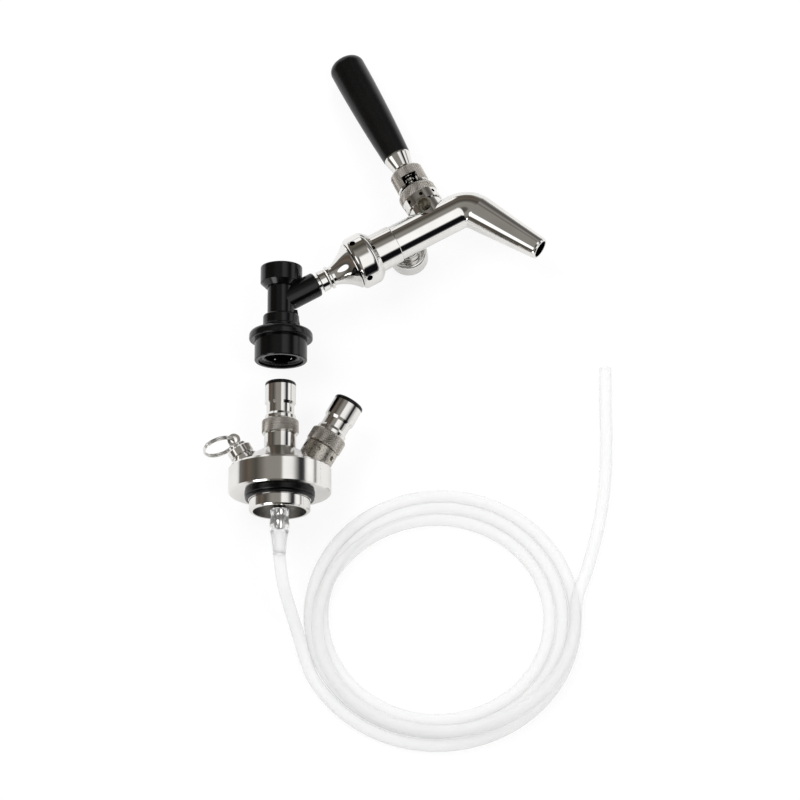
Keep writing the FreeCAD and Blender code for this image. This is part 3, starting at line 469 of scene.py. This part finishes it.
@dataclass(frozen=True)
class MouldedFinish:
    """Moulded plastic or rubber.

    Args:
        color: its own colour.
        roughness: how blurred its reflections are.
        grain: height of the mould's grain, in metres.
        specular: strength of the gloss.
    """

    CLOUDS: ClassVar[float] = 70
    GRAIN: ClassVar[float] = 1900
    WAVES: ClassVar[float] = 240
    WAVE_DEPTH: ClassVar[float] = 0.00001

    color: tuple[float, float, float]
    roughness: float
    grain: float
    specular: float = 0.5

    def make(self, name: str) -> bpy.types.Material:
        """The finish without an axis.

        Args:
            name: the material's name.

        Returns:
            The material.
        """
        material, graph = new_material(name)
        place = graph.point()
        cloud = graph.noise(place, self.CLOUDS, 4)
        grain = graph.noise(place, self.GRAIN, 3)
        waves = graph.noise(place, self.WAVES, 2)
        pale = tuple(channel * 1.5 for channel in self.color)
        graph.surface({
            "Base Color": graph.mix(cloud.smooth(0.4, 0.8), self.color, pale),
            "Roughness": self.roughness + 0.08 * cloud + 0.04 * grain,
            "Normal": graph.bump(grain * self.grain + waves * self.WAVE_DEPTH),
            "Specular IOR Level": self.specular,
        })
        return material

    def dress(self, name: str, *nodes: str) -> bpy.types.Material:
        """Makes the finish and puts it on CAD nodes."""
        return dress(self.make(name), *nodes)


@dataclass(frozen=True)
class HoseFinish:
    """Soft milky hose, which clears near the stub.

    Args:
        color: the milky colour.
        body: how dense it is.
        clearing: heights on the head's axis where it starts to clear and is clear, in metres.
        kept: share of its density that it keeps where it is clear.
        glassy: how much light it bends through, as clear vinyl does.
    """

    CLOUDS: ClassVar[float] = 40
    WAVES: ClassVar[float] = 260
    WAVE_DEPTH: ClassVar[float] = 0.00002
    STUB_REACH: ClassVar[float] = 8 * MM
    IOR: ClassVar[float] = 1.45

    color: tuple[float, float, float] = (0.80, 0.80, 0.80)
    body: float = 0.34
    clearing: tuple[float, float] = (-34.6 * MM, -34.4 * MM)
    kept: float = 0.0
    glassy: float = 0.0

    def make(self, name: str) -> bpy.types.Material:
        """The finish about the head's axis.

        Args:
            name: the material's name.

        Returns:
            The material.
        """
        material, graph = new_material(name)
        place = graph.point()
        cloud = graph.noise(place, self.CLOUDS, 3)
        waves = graph.noise(place, self.WAVES, 2)
        shade = tuple(channel * 0.96 for channel in self.color)
        across, along, _ = graph.parts(place)
        clear = along.smooth(*self.clearing) * (across < self.STUB_REACH)
        graph.surface({
            "Base Color": graph.mix(cloud, self.color, shade),
            "Roughness": (0.45 + 0.1 * cloud) * (1 - self.glassy * clear),
            "Alpha": (self.body + 0.08 * cloud) * (1 - (1 - self.kept) * clear),
            "Normal": graph.bump(waves * self.WAVE_DEPTH),
            "Specular IOR Level": 0.2,
            "Transmission Weight": self.glassy,
            "IOR": self.IOR,
        })
        return material


CHROME = MetalFinish((0.73, 0.72, 0.70), 0.025, 0.02)
POLISHED = MetalFinish((0.72, 0.705, 0.68), 0.06, 0.05, 0.0000010, 3200)
SATIN = MetalFinish((0.73, 0.715, 0.69), 0.08, 0.05, 0.0000022, 2600)
BRUSHED = MetalFinish((0.74, 0.73, 0.71), 0.13, 0.06)
KNURLED = MetalFinish((0.52, 0.49, 0.45), 0.20, 0.10)
WIRE = MetalFinish((0.68, 0.665, 0.64), 0.10, 0.05)
GLOSS_BLACK = MouldedFinish((0.0016, 0.0016, 0.0018), 0.12, 0.000004, 0.32)
GRIP_BLACK = MouldedFinish((0.0022, 0.0022, 0.0022), 0.22, 0.000006, 0.27)
RUBBER_BLACK = MouldedFinish((0.0016, 0.0016, 0.0019), 0.2, 0.000008, 0.26)
SEAL_WHITE = MouldedFinish((0.78, 0.77, 0.73), 0.4, 0.000008)
SCREW_DARK = MetalFinish((0.15, 0.135, 0.105), 0.36, 0.06)
# Painted shade: near-black colour laid inside drilled holes, standing in for the shadow there
HOLE_PAINTED_SHADE = (0.02, 0.018, 0.016)
MILKY_HOSE = HoseFinish()
CLEAR_CUFF = HoseFinish((0.95, 0.95, 0.95), 0.4, (-22.5 * MM, -20.5 * MM), 2.2, 0.92)


# Pieces


def dress(material: bpy.types.Material, *nodes: str) -> bpy.types.Material:
    """Puts a finish on CAD nodes.

    Args:
        material: the finish.
        nodes: the nodes' names.

    Returns:
        The same material.
    """
    for node in nodes:
        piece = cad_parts[node]
        for slot in piece.material_slots:
            slot.material = material
        if not piece.material_slots:
            piece.data.materials.append(material)
        LOG.info("dressed %s with %s", node, material.name)
    return material


@dataclass
class CameraRig:
    """Long-lens camera looking down on the table, as the photograph was taken."""

    elevation: float = 73.0
    distance: float = 2.6
    view_width: float = 444.4 * MM
    target: Vector = field(default_factory=lambda: mm(66.4, 54.3, 0))

    def build(self) -> None:
        """Makes the camera."""
        data = bpy.data.cameras.new("camera")
        data.lens = data.sensor_width * self.distance / self.view_width
        data.clip_end = 20
        camera = bpy.data.objects.new("camera", data)
        tilt = math.radians(self.elevation)
        back = Vector((0, -math.cos(tilt), math.sin(tilt)))
        camera.location = self.target + back * self.distance
        camera.rotation_euler = (math.radians(90) - tilt, 0, 0)
        bpy.context.scene.collection.objects.link(camera)
        bpy.context.scene.camera = camera


@dataclass
class Hose:
    """The soft clear hose: down from the stub, round the coil, and up to its bare end."""

    radius: float = 3.5 * MM
    centre: Vector = field(default_factory=lambda: mm(86.7, -64.8, -25))
    half_length: float = 81.3 * MM
    half_width: float = 76.0 * MM
    points_per_turn: int = 20
    smoothness: int = 8
    lead: tuple = (
        (0, -34, 0), (1.2, -48, -2.5), (5.8, -62, -12.5), (10.6, -75.5, -21.5), (14.4, -89, -25),
    )
    free: tuple = (
        (169.6, -39, -25), (174.4, -22, -25), (178.8, -3, -25), (181.2, 18, -25), (182, 40, -25),
        (181.5, 61, -25), (181.9, 80.5, -25),
    )
    first_angle: float = 211.0
    last_angle: float = 1449.0
    inward: tuple = (
        (211, 3.9), (420, 4.2), (560, 11.2), (780, 11.4), (930, 18.4), (1200, 18.6), (1330, 11.0),
        (1449, 3.9),
    )
    stacked: tuple = ((1190, 0), (1290, 7.1), (1400, 7.1), (1449, 3.0))

    def lane(self, angle: float) -> tuple[float, float]:
        """Where the strand lies in the coil at an angle counted on from turn to turn.

        Args:
            angle: degrees round the coil.

        Returns:
            Distance in from the coil's outer edge, and height above the table, in metres.
        """
        return smooth_steps(angle, self.inward) * MM, smooth_steps(angle, self.stacked) * MM

    def coil_points(self) -> list[Vector]:
        """Control points of the coil's turns.

        Returns:
            Points a little outside the line, because the spline cuts its corners.
        """
        points = []
        count = round((self.last_angle - self.first_angle) / 360 * self.points_per_turn)
        spare = 1 / math.cos(math.pi / self.points_per_turn) ** 0.5
        for index in range(count + 1):
            angle = self.first_angle + (self.last_angle - self.first_angle) * index / count
            inward, height = self.lane(angle)
            turn = math.radians(angle)
            across = (self.half_length - inward) * spare * math.cos(turn)
            up = (self.half_width - inward) * spare * math.sin(turn)
            points.append(self.centre + Vector((across, up, height)))
        return points

    def build(self, material: bpy.types.Material) -> None:
        """Makes the hose as one smooth curve.

        Args:
            material: its finish.
        """
        lead = [mm(*point) for point in self.lead]
        route = lead + self.coil_points() + [mm(*point) for point in self.free]
        data = round_wire("hose_line", self.radius, self.smoothness)
        data.resolution_u = self.smoothness
        spline = data.splines.new("NURBS")
        spline.points.add(len(route) - 1)
        for point, place in zip(spline.points, route):
            point.co = (*place, 1)
        spline.order_u = 3
        spline.use_endpoint_u = True
        spline.use_smooth = True
        hose = add_piece("hose", data, "cap", material)
        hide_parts("hose_lead", "hose_coil", "hose_free_end")
        2 * self.radius


def round_wire(name: str, radius: float, bevel: int) -> bpy.types.Curve:
    """An empty curve of round section with closed ends.

    Args:
        name: the curve's name.
        radius: radius of its section, in metres.
        bevel: how finely the section is rounded.

    Returns:
        The curve.
    """
    data = bpy.data.curves.new(name, "CURVE")
    data.dimensions = "3D"
    data.bevel_depth = radius
    data.bevel_resolution = bevel
    data.use_fill_caps = True
    return data


@dataclass
class Cuff:
    """The hose's end, stretched over the barbed stub under the cap."""

    outside: tuple = (
        (5.0, -9.0), (5.35, -9.3), (5.4, -10.5), (5.25, -13), (5.2, -14.6), (5.4, -16.4),
        (5.36, -18.5), (5.15, -20.8), (4.75, -23.4), (4.3, -26.4), (3.95, -29.6), (3.7, -32.6),
        (3.58, -34.7),
    )
    inside: tuple = (
        (3.53, -34.7), (3.2, -32), (2.75, -28), (2.5, -21.6), (3.76, -20.3), (3.76, -15.9),
        (3.4, -15.6), (3.4, -9.0),
    )
    columns: int = 64

    def build(self, material: bpy.types.Material) -> None:
        """Makes the cuff as one closed turned mesh.

        Args:
            material: its finish.
        """
        outline = [(radius * MM, height * MM) for radius, height in self.outside + self.inside]
        mesh = turned_mesh("stretched_cuff", HEAD, outline, self.columns)
        cuff = add_piece("stretched_cuff", mesh, "cap", material)
        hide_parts("hose_cuff")


def turned_mesh(
    name: str, axis: Axis, outline: list[tuple[float, float]], columns: int
) -> bpy.types.Mesh:
    """A closed outline turned about an axis.

    Args:
        name: the mesh's name.
        axis: the line that it is turned about.
        outline: radii and heights in metres, in order round the section.
        columns: faces round it.

    Returns:
        The mesh, shaded smooth.
    """
    build = bmesh.new()
    rings = []
    for radius, height in outline:
        turns = (math.tau * column / columns for column in range(columns))
        rings.append([build.verts.new(axis.at(height, radius, angle)) for angle in turns])
    for first, second in zip(rings, rings[1:] + rings[:1]):
        for column in range(columns):
            following = (column + 1) % columns
            build.faces.new((first[column], second[column], second[following], first[following]))
    return closed_mesh(build, name)


def closed_mesh(build: bmesh.types.BMesh, name: str) -> bpy.types.Mesh:
    """Ends a closed mesh, with its faces turned outwards and shaded smooth.

    Args:
        build: the mesh as it was built.
        name: the new mesh's name.

    Returns:
        The mesh.
    """
    bmesh.ops.recalc_face_normals(build, faces=build.faces)
    for face in build.faces:
        face.smooth = True
    return ended_mesh(build, name)


def ended_mesh(build: bmesh.types.BMesh, name: str) -> bpy.types.Mesh:
    """Writes a built mesh out under a name.

    Args:
        build: the mesh as it was built, which is freed.
        name: the new mesh's name.

    Returns:
        The mesh.
    """
    mesh = bpy.data.meshes.new(name)
    build.to_mesh(mesh)
    build.free()
    return mesh


def smooth_steps(place: float, stops: tuple[tuple[float, float], ...]) -> float:
    """Eased interpolation.

    Args:
        place: where the value is wanted.
        stops: places and values in rising order.

    Returns:
        The value there.
    """
    if place <= stops[0][0]:
        return stops[0][1]
    for (low, first), (high, second) in zip(stops, stops[1:]):
        if place <= high:
            share = (place - low) / (high - low)
            return first + (second - first) * share * share * (3 - 2 * share)
    return stops[-1][1]


def add_piece(
    name: str, data: bpy.types.ID, body: str, material: bpy.types.Material
) -> bpy.types.Object:
    """Adds one new piece to the object.

    Args:
        name: its name.
        data: its mesh or curve.
        body: the body that it rides on.
        material: its finish.

    Returns:
        The piece's object.
    """
    piece = bpy.data.objects.new(name, data)
    bpy.context.scene.collection.objects.link(piece)
    data.materials.append(material)
    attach(piece, body)
    LOG.info("added %s on %s", name, body)
    return piece


@dataclass(frozen=True)
class Knurl:
    """A sleeve of crossed fine grooves, set on a round solid.

    Args:
        axis: the line that it is turned about.
        radius: radius of the solid under it, in metres.
        low: where the band starts on the axis, in metres.
        high: where it ends.
        teeth: grooves round it.
        depth: how far its points stand proud, in metres.
        window: a cut-out's first and last angle in degrees, and first and last height.
        dome: radius of the ball that rounds the solid over, about the axis's origin, in metres.
        lift: how far the bottoms of its grooves stand clear of the solid, in metres.
        tuck: how far its edges go into the solid, in metres.
        fineness: columns of points to a tooth.
    """

    axis: Axis
    radius: float
    low: float
    high: float
    teeth: int = 44
    depth: float = 0.36 * MM
    window: tuple[float, float, float, float] | None = None
    dome: float = 1.0
    lift: float = 0.03 * MM
    tuck: float = 0.3 * MM
    fineness: int = 4

    def under(self, height: float) -> float:
        """Radius of the solid under the band at a height."""
        return min(self.radius, math.sqrt(self.dome ** 2 - height ** 2))

    def proud(self, angle: float, height: float) -> float:
        """How far the crossed ridges stand out.

        Args:
            angle: radians from the side.
            height: metres along the axis.

        Returns:
            Metres from the solid.
        """
        around = angle * self.teeth / math.tau
        along = (height - self.low) * self.teeth / (math.tau * self.radius)
        ridges = [abs((around + sign * along) % 1.0 - 0.5) * 2 for sign in (1, -1)]
        return self.lift + self.depth * (1 - max(ridges))

    def cut_away(self, angle: float, height: float) -> bool:
        """Whether a place lies in the window.

        Args:
            angle: radians from the side.
            height: metres along the axis.

        Returns:
            True in the window, False elsewhere or without one.
        """
        if self.window is None:
            return False
        first, last, bottom, top = self.window
        turned = (math.degrees(angle) + 180) % 360 - 180
        return first < turned < last and bottom < height < top

    def ring(self, row: int, rows: int, columns: int) -> tuple[float, list[Vector]]:
        """One row of the sleeve's points.

        Args:
            row: its number. The first row, -1, and the last, rows + 1, go into the solid.
            rows: number of the sleeve's top edge.
            columns: points round it.

        Returns:
            Its height on the axis, and its points.
        """
        height = self.low + (self.high - self.low) * min(max(row, 0), rows) / rows
        edge = self.lift if 0 <= row <= rows else -self.tuck
        points = []
        for column in range(columns):
            angle = math.tau * column / columns
            rise = self.proud(angle, height) if 0 < row < rows else edge
            points.append(self.axis.at(height, self.under(height) + rise, angle))
        return height, points

    def mesh(self, name: str) -> bpy.types.Mesh:
        """The sleeve.

        Args:
            name: the mesh's name.

        Returns:
            The mesh.
        """
        columns = self.teeth * self.fineness
        pitch = math.tau * self.radius
        rows = max(4, round((self.high - self.low) * self.teeth * self.fineness / pitch))
        build = bmesh.new()
        rings = []
        for row in range(-1, rows + 2):
            height, points = self.ring(row, rows, columns)
            rings.append((height, [build.verts.new(point) for point in points]))
        for (below, first), (above, second) in zip(rings, rings[1:]):
            for column in range(columns):
                if self.cut_away(math.tau * (column + 0.5) / columns, (below + above) / 2):
                    continue
                following = (column + 1) % columns
                corners = (first[column], first[following], second[following], second[column])
                build.faces.new(corners)
        return ended_mesh(build, name)


@dataclass(frozen=True)
class Spring:
    """A coil spring of round wire.

    Args:
        node: the CAD spring that it stands for.
        axis: the line that it is wound about.
        radius: radius of the wire's centre line, in metres.
        low: where it starts on the axis, in metres.
        high: where it ends.
        turns: number of turns.
        body: the body that it rides on.
        joint: the joint that moves the piece that it pushes on; not used.
        travel: how far that joint would shorten it, in metres.
        fixed: its end that stays, as a height on the axis.
        wire: radius of the wire.
    """

    node: str
    axis: Axis
    radius: float
    low: float
    high: float
    turns: int
    body: str
    joint: str
    travel: float
    fixed: float
    wire: float = 0.4 * MM

    def mesh(self, steps: int = 28, sides: int = 8) -> bpy.types.Mesh:
        """The wound wire with closed ends.

        Args:
            steps: rings of points to a turn.
            sides: points round the wire.

        Returns:
            The mesh.
        """
        build = bmesh.new()
        rings = []
        count = steps * self.turns
        for index in range(count + 1):
            angle = math.tau * index / steps
            centre = self.low + self.wire + (self.high - self.low - 2 * self.wire) * index / count
            ring = []
            for side in range(sides):
                turned = math.tau * side / sides
                height = centre + self.wire * math.sin(turned)
                out = self.radius + self.wire * math.cos(turned)
                ring.append(build.verts.new(self.axis.at(height, out, angle)))
            rings.append(ring)
        for first, second in zip(rings, rings[1:]):
            for side in range(sides):
                following = (side + 1) % sides
                build.faces.new((first[side], first[following], second[following], second[side]))
        build.faces.new(rings[0])
        build.faces.new(rings[-1])
        return closed_mesh(build, self.node + "_coil")

    def build(self, material: bpy.types.Material) -> None:
        """Winds the spring in place of the CAD spring.

        Args:
            material: its finish.
        """
        coil = add_piece(self.node + "_coil", self.mesh(), self.body, material)
        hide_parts(self.node)
        keep = 1 - self.travel / (self.high - self.low)
        along, anchor = tuple(self.axis.direction), tuple(self.axis.at(self.fixed))
        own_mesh(coil)


@dataclass
class CapGroup:
    """The keg cap with its collar and seals, two posts, and the relief valve with its pull ring."""

    ring_radius: float = 9.95 * MM
    ring_low: float = 8.8 * MM
    ring_high: float = 16.0 * MM
    foot: Patch = Patch(-1.5 * MM, 16.4 * MM, 12 * MM, (0.52, 0.49, 0.44), 0.2, 0.9)
    # Painted light: the inside of the collar's mouth is coloured lighter than the steel, standing
    # in for bright reflections there
    mouth_painted_light: Patch = Patch(-11 * MM, 5.9 * MM, 14.95 * MM, (0.86, 0.85, 0.83), 0.1)
    pull_centre: Vector = field(default_factory=lambda: mm(-33.8065, 27.5543, -0.965))
    pull_out: tuple[float, float, float] = (-0.927, -0.358, -0.109)
    pull_side: tuple[float, float, float] = (-0.176, 0.159, 0.971)
    pull_radius: float = 8.85 * MM
    pull_wire: float = 0.6 * MM
    pull_points: int = 192
    pull_turns: int = 2
    pull_cross: tuple = ((0.42, -1.0), (0.58, 1.0))

    def build(self) -> None:
        """Dresses the solids, winds the springs and the pull ring, and knurls the posts."""
        # The cap's steel carries painted light inside its mouth
        replace(SATIN, patches=(self.mouth_painted_light,)).dress("cap_steel", HEAD, "cap_body")
        POLISHED.dress("post_steel", HEAD, "liquid_post", "liquid_poppet")
        CHROME.dress("stub_steel", HEAD, "dip_stub")
        footed = replace(POLISHED, patches=(self.foot,))
        footed.dress("gas_post_steel", GAS, "gas_post", "gas_poppet")
        POLISHED.dress("relief_steel", RELIEF, "relief_body", "relief_stem")
        wire = WIRE.make("head_wire", HEAD)
        for name, axis in (("liquid_poppet", LIQUID), ("gas_poppet", GAS)):
            Spring(
                name + "_spring", axis, radius=4.6 * MM, low=7.1 * MM, high=30.3 * MM, turns=5,
                body="cap", joint=name + "_slide", travel=3 * MM, fixed=7.1 * MM,
            ).build(wire)
        Spring(
            "relief_spring", RELIEF, radius=2.6 * MM, low=-4.5 * MM, high=7.3 * MM, turns=5,
            body="cap", joint="relief_stem_lift", travel=2 * MM, fixed=7.3 * MM,
        ).build(wire)
        RUBBER_BLACK.dress(
            "head_rubber", "cap_gasket", "collar_o_ring", "liquid_post_seal", "gas_post_seal"
        )
        for name, axis in (("liquid", LIQUID), ("gas", GAS)):
            band = Knurl(axis, self.ring_radius, self.ring_low, self.ring_high)
            grey = KNURLED.make(name + "_ring_grey", axis)
            mesh = band.mesh(name + "_post_knurl")
            add_piece(name + "_post_knurl", mesh, "cap", grey)
        self.pull_ring(CHROME.make("ring_wire", RELIEF))

    def pull_ring(self, material: bpy.types.Material) -> None:
        """A split ring, wound of two turns of wire.

        Args:
            material: its finish.
        """
        out = Vector(self.pull_out).normalized()
        tangent = Vector(self.pull_side)
        tangent = (tangent - out * tangent.dot(out)).normalized()
        square = out.cross(tangent)
        data = round_wire("split_ring", self.pull_wire, 6)
        spline = data.splines.new("POLY")
        spline.points.add(self.pull_points)
        for index, point in enumerate(spline.points):
            angle = math.tau * self.pull_turns * index / self.pull_points
            aside = self.pull_wire * smooth_steps(index / self.pull_points, self.pull_cross)
            around = out * math.cos(angle) + tangent * math.sin(angle)
            point.co = (*(self.pull_centre + around * self.pull_radius + square * aside), 1)
        spline.use_smooth = True
        ring = add_piece("split_ring", data, "pull_ring", material)
        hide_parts("pull_ring")


@dataclass
class DisconnectGroup:
    """The black disconnect with its sliding collar, lid, balls and valve pin."""

    def build(self) -> None:
        """Dresses the solids and winds the springs."""
        GLOSS_BLACK.dress(
            "disconnect_black", "disconnect_body", "release_collar", "disconnect_lid"
        )
        RUBBER_BLACK.dress("disconnect_rubber", "socket_seal", "lid_seal")
        wire = WIRE.dress("disconnect_wire", DISCONNECT, "lock_balls", "valve_pin")
        body = "disconnect_and_faucet"
        Spring(
            "collar_spring", DISCONNECT, radius=12.1 * MM, low=7.2 * MM, high=15.1 * MM, turns=3,
            body=body, joint="release_collar_slide", travel=4.5 * MM, fixed=15.1 * MM,
        ).build(wire)
        Spring(
            "pin_spring", DISCONNECT, radius=3.9 * MM, low=24.5 * MM, high=51.5 * MM, turns=7,
            body=body, joint="valve_pin_slide", travel=3 * MM, fixed=51.5 * MM,
        ).build(wire)


@dataclass
class FaucetGroup:
    """The chrome faucet with its coupling, lever, bonnet, grip and flow knob."""

    bonnet_radius: float = 10.7 * MM
    skirt_radius: float = 9.2 * MM
    # Painted shade inside the coupling nut's and the bonnet's holes
    nut_hole_shade: Patch = Patch(47.6 * MM, 51.1 * MM, 14.9 * MM, HOLE_PAINTED_SHADE)
    bonnet_hole_shade: Patch = Patch(-2.75 * MM, -0.45 * MM, 10.4 * MM, HOLE_PAINTED_SHADE)

    def build(self) -> None:
        """Dresses the solids and knurls the bonnet and the skirt."""
        CHROME.dress("coupling_chrome", BODY, "flare_nut", "shank_adapter")
        # The coupling nut and the bonnet carry painted shade in their holes
        replace(CHROME, patches=(self.nut_hole_shade,)).dress("nut_chrome", BODY, "coupling_nut")
        CHROME.dress("body_chrome", BODY, "faucet_body", "shuttle")
        replace(CHROME, patches=(self.bonnet_hole_shade,)).dress("bonnet_chrome", HANDLE, "bonnet")
        CHROME.dress("handle_chrome", HANDLE, "lever", "lever_skirt", "handle_ferrule")
        BRUSHED.dress(
            "knob_chrome", THROTTLE, "throttle_gland", "throttle_knob", "throttle_stem",
            "knob_screw",
        )
        GRIP_BLACK.dress("grip_black", "handle_grip")
        RUBBER_BLACK.dress("faucet_rubber", "seat_o_ring", "throttle_o_ring")
        SEAL_WHITE.dress(
            "faucet_seal", "flare_washer", "coupling_washer", "lever_bushing", "friction_ring"
        )
        SCREW_DARK.dress("lock_screw_dark", HANDLE, "bonnet_lock_screw")
        grey = KNURLED.make("handle_knurl_grey", HANDLE)
        low = Knurl(
            HANDLE, self.bonnet_radius, 0.9 * MM, 7.4 * MM, teeth=48, dome=11.8 * MM
        ).mesh("bonnet_knurl")
        add_piece("bonnet_knurl", low, "disconnect_and_faucet", grey)
        high = Knurl(
            GRIP, self.skirt_radius, 9.2 * MM, 19.4 * MM, window=(-32.0, 23.6, 0.0, 14.0 * MM)
        ).mesh("skirt_knurl")
        add_piece("skirt_knurl", high, "lever", grey)


@dataclass
class Studio:
    """Pale floor, soft lamps and the surroundings that the metal reflects."""

    floor_half: float = 3.0
    view_axis: tuple[float, float, float] = (0.0, -0.292, 0.956)
    plain_level: float = 0.6
    panel_level: float = 1.35
    lamps: tuple = (
        ("key", (-0.7, 0.5, 1.5), 0.9, 16.0),
        ("fill", (0.9, -0.3, 1.4), 0.8, 9.0),
        ("rim", (0.2, 1.5, 0.9), 0.6, 8.0),
    )
    left_panels: tuple = (
        (0, (0.075, 0.07, 0.06)), (13, (0.10, 0.095, 0.085)), (22, (0.23, 0.22, 0.205)),
        (44, (0.24, 0.23, 0.212)), (52, (0.145, 0.135, 0.12)), (62, (0.062, 0.057, 0.05)),
        (70, (0.09, 0.082, 0.07)), (78, (0.12, 0.10, 0.08)), (86, (0.085, 0.065, 0.05)),
        (100, (0.13, 0.12, 0.11)),
    )
    right_panels: tuple = (
        (0, 0.9), (20, 0.97), (44, 0.82), (50, 0.35), (56, (0.02, 0.02, 0.023)),
        (65, (0.015, 0.015, 0.018)), (70, 0.75), (75, 0.95), (86, 0.92), (91, 0.25), (98, 0.25),
        (104, 0.75),
    )
    near_panels: tuple = (
        (0, 0.98), (33, 0.98), (40, (0.03, 0.03, 0.033)), (45, (0.004, 0.004, 0.005)),
        (69, (0.004, 0.004, 0.005)), (77, 0.22), (90, 0.6),
    )
    far_panels: tuple = (
        (0, (0.22, 0.22, 0.21)), (20, (0.27, 0.26, 0.25)), (32, (0.37, 0.36, 0.345)),
        (54, (0.32, 0.31, 0.30)), (66, (0.22, 0.21, 0.20)), (79, (0.09, 0.085, 0.08)),
        (93, (0.11, 0.105, 0.10)), (106, (0.4, 0.39, 0.38)),
    )
    near_edge: tuple[float, float] = (-0.55, 0.1)
    far_edge: tuple[float, float] = (0.5, 0.7)
    left_edge: tuple[float, float] = (0.06, 0.17)
    windows: tuple = (
        ((-0.73, -0.38, 0.57), 0.955, 0.975, 1.6),
        ((-0.47, 0.87, 0.12), 0.955, 0.975, 1.25),
        ((-0.42, -0.90, 0.07), 0.975, 0.985, 5.0),
    )
    floor_gap: float = 0.0002
    floor_white: float = 0.86
    floor_seen_glow: float = 0.86
    floor_mirrored_glow: float = 0.4
    floor_unlit_glow: float = 0.55
    floor_unlit_color: tuple[float, float, float] = (0.12, 0.11, 0.10)
    floor_unlit_edge: tuple[float, float] = (0.12, 0.3)

    def build(self) -> None:
        """Makes the floor, the lamps and the world."""
        self.floor()
        for name, place, width, power in self.lamps:
            self.lamp(name, Vector(place), width, power)
        self.world()

    def floor(self) -> None:
        """A plain white floor that keeps a faint shadow."""
        mesh = bpy.data.meshes.new("floor")
        half, level = self.floor_half, TABLE_LEVEL - self.floor_gap
        corners = [(-half, -half), (half, -half), (half, half), (-half, half)]
        mesh.from_pydata([(x, y, level) for x, y in corners], [], [(0, 1, 2, 3)])
        floor = bpy.data.objects.new("floor", mesh)
        bpy.context.scene.collection.objects.link(floor)
        mesh.materials.append(self.floor_material())

    def floor_material(self) -> bpy.types.Material:
        """White that glows, so that it stays white, and a dark left side in reflections.

        Returns:
            The material.
        """
        material, graph = new_material("white_table")
        path = graph.node("ShaderNodeLightPath").outputs
        glossy = Signal(graph, path["Is Glossy Ray"])
        seen = Signal(graph, path["Is Camera Ray"]) + Signal(graph, path["Is Transmission Ray"])
        across = graph.parts(graph.point())[0]
        unlit = glossy * (0 - across).smooth(*self.floor_unlit_edge)
        white = {"Color": rgba((self.floor_white,) * 3)}
        matt = graph.out("ShaderNodeBsdfDiffuse", None, white)
        color = graph.mix(unlit, (1, 1, 1), self.floor_unlit_color)
        glow = graph.out("ShaderNodeEmission", None, {"Color": color, "Strength": 1.0})
        share = self.floor_seen_glow * seen + glossy * self.floor_mirrored_glow
        share = share + unlit * self.floor_unlit_glow
        blend = graph.out("ShaderNodeMixShader", None, {0: share, 1: matt, 2: glow})
        graph.node("ShaderNodeOutputMaterial", None, {"Surface": blend})
        return material

    @staticmethod
    def lamp(name: str, place: Vector, width: float, power: float) -> None:
        """A soft square lamp aimed at the object, out of sight of polished metal.

        Args:
            name: the lamp's name.
            place: where it hangs, in metres.
            width: side of its face, in metres.
            power: watts.
        """
        data = bpy.data.lights.new(name, "AREA")
        data.size = width
        data.energy = power
        lamp = bpy.data.objects.new(name, data)
        lamp.location = place
        lamp.rotation_euler = (LAMP_AIM - place).to_track_quat("-Z", "Y").to_euler()
        lamp.visible_glossy = False
        bpy.context.scene.collection.objects.link(lamp)

    def panels(self, graph: Graph, away: Signal, bands: tuple) -> Signal:
        """Colours by the angle away from the view.

        Args:
            graph: the world's graph.
            away: the angle as a share of half a turn.
            bands: each an angle in degrees and a colour, or a number for a grey.

        Returns:
            The colour.
        """
        stops = [
            (degrees / 180, color if isinstance(color, tuple) else (color,) * 3)
            for degrees, color in bands
        ]
        return graph.out("ShaderNodeValToRGB", {"stops": stops}, {0: away})

    def world(self) -> None:
        """White round the object, with the dark panels that polished metal mirrors."""
        world = bpy.data.worlds.new("studio")
        bpy.context.scene.world = world
        graph = Graph(world)
        toward = graph.out("ShaderNodeTexCoord", pick="Generated")
        away = graph.vector("DOT_PRODUCT", toward, self.view_axis, "Value").arccosine() / math.pi
        across, up, _ = graph.parts(toward)
        near, middle, far, left = (
            self.panels(graph, away, bands)
            for bands in (self.near_panels, self.right_panels, self.far_panels, self.left_panels)
        )
        right = graph.mix(up.smooth(*self.near_edge), near, middle)
        right = graph.mix(up.smooth(*self.far_edge), right, far)
        mirrored = graph.mix(across.smooth(*self.left_edge), left, right)
        path = graph.node("ShaderNodeLightPath").outputs
        glossy = Signal(graph, path["Is Glossy Ray"])
        light = graph.mix(glossy, (self.plain_level,) * 3, mirrored)
        seen = graph.mix(Signal(graph, path["Is Camera Ray"]), light, (1.0, 1.0, 1.0))
        strength = 1 + (self.panel_level - 1) * glossy
        for place, outer, inner, level in self.windows:
            pane = graph.vector("DOT_PRODUCT", toward, place, "Value").smooth(outer, inner) * glossy
            seen = graph.mix(pane, seen, (1.0, 1.0, 1.0))
            strength = strength + (level - self.panel_level) * pane
        sky = graph.out("ShaderNodeBackground", None, {"Color": seen, "Strength": strength})
        graph.node("ShaderNodeOutputWorld", None, {"Surface": sky})


def main() -> None:
    """Builds the whole scene in order."""
    logging.basicConfig(level=logging.INFO)
    bpy.context.scene.view_settings.view_transform = "Standard"
    CameraRig().build()
    Hose().build(MILKY_HOSE.make("clear_hose"))
    Cuff().build(CLEAR_CUFF.make("clear_cuff"))
    Studio().build()
    for group in (CapGroup(), DisconnectGroup(), FaucetGroup()):
        group.build()


if __name__ == "__main__":
    main()
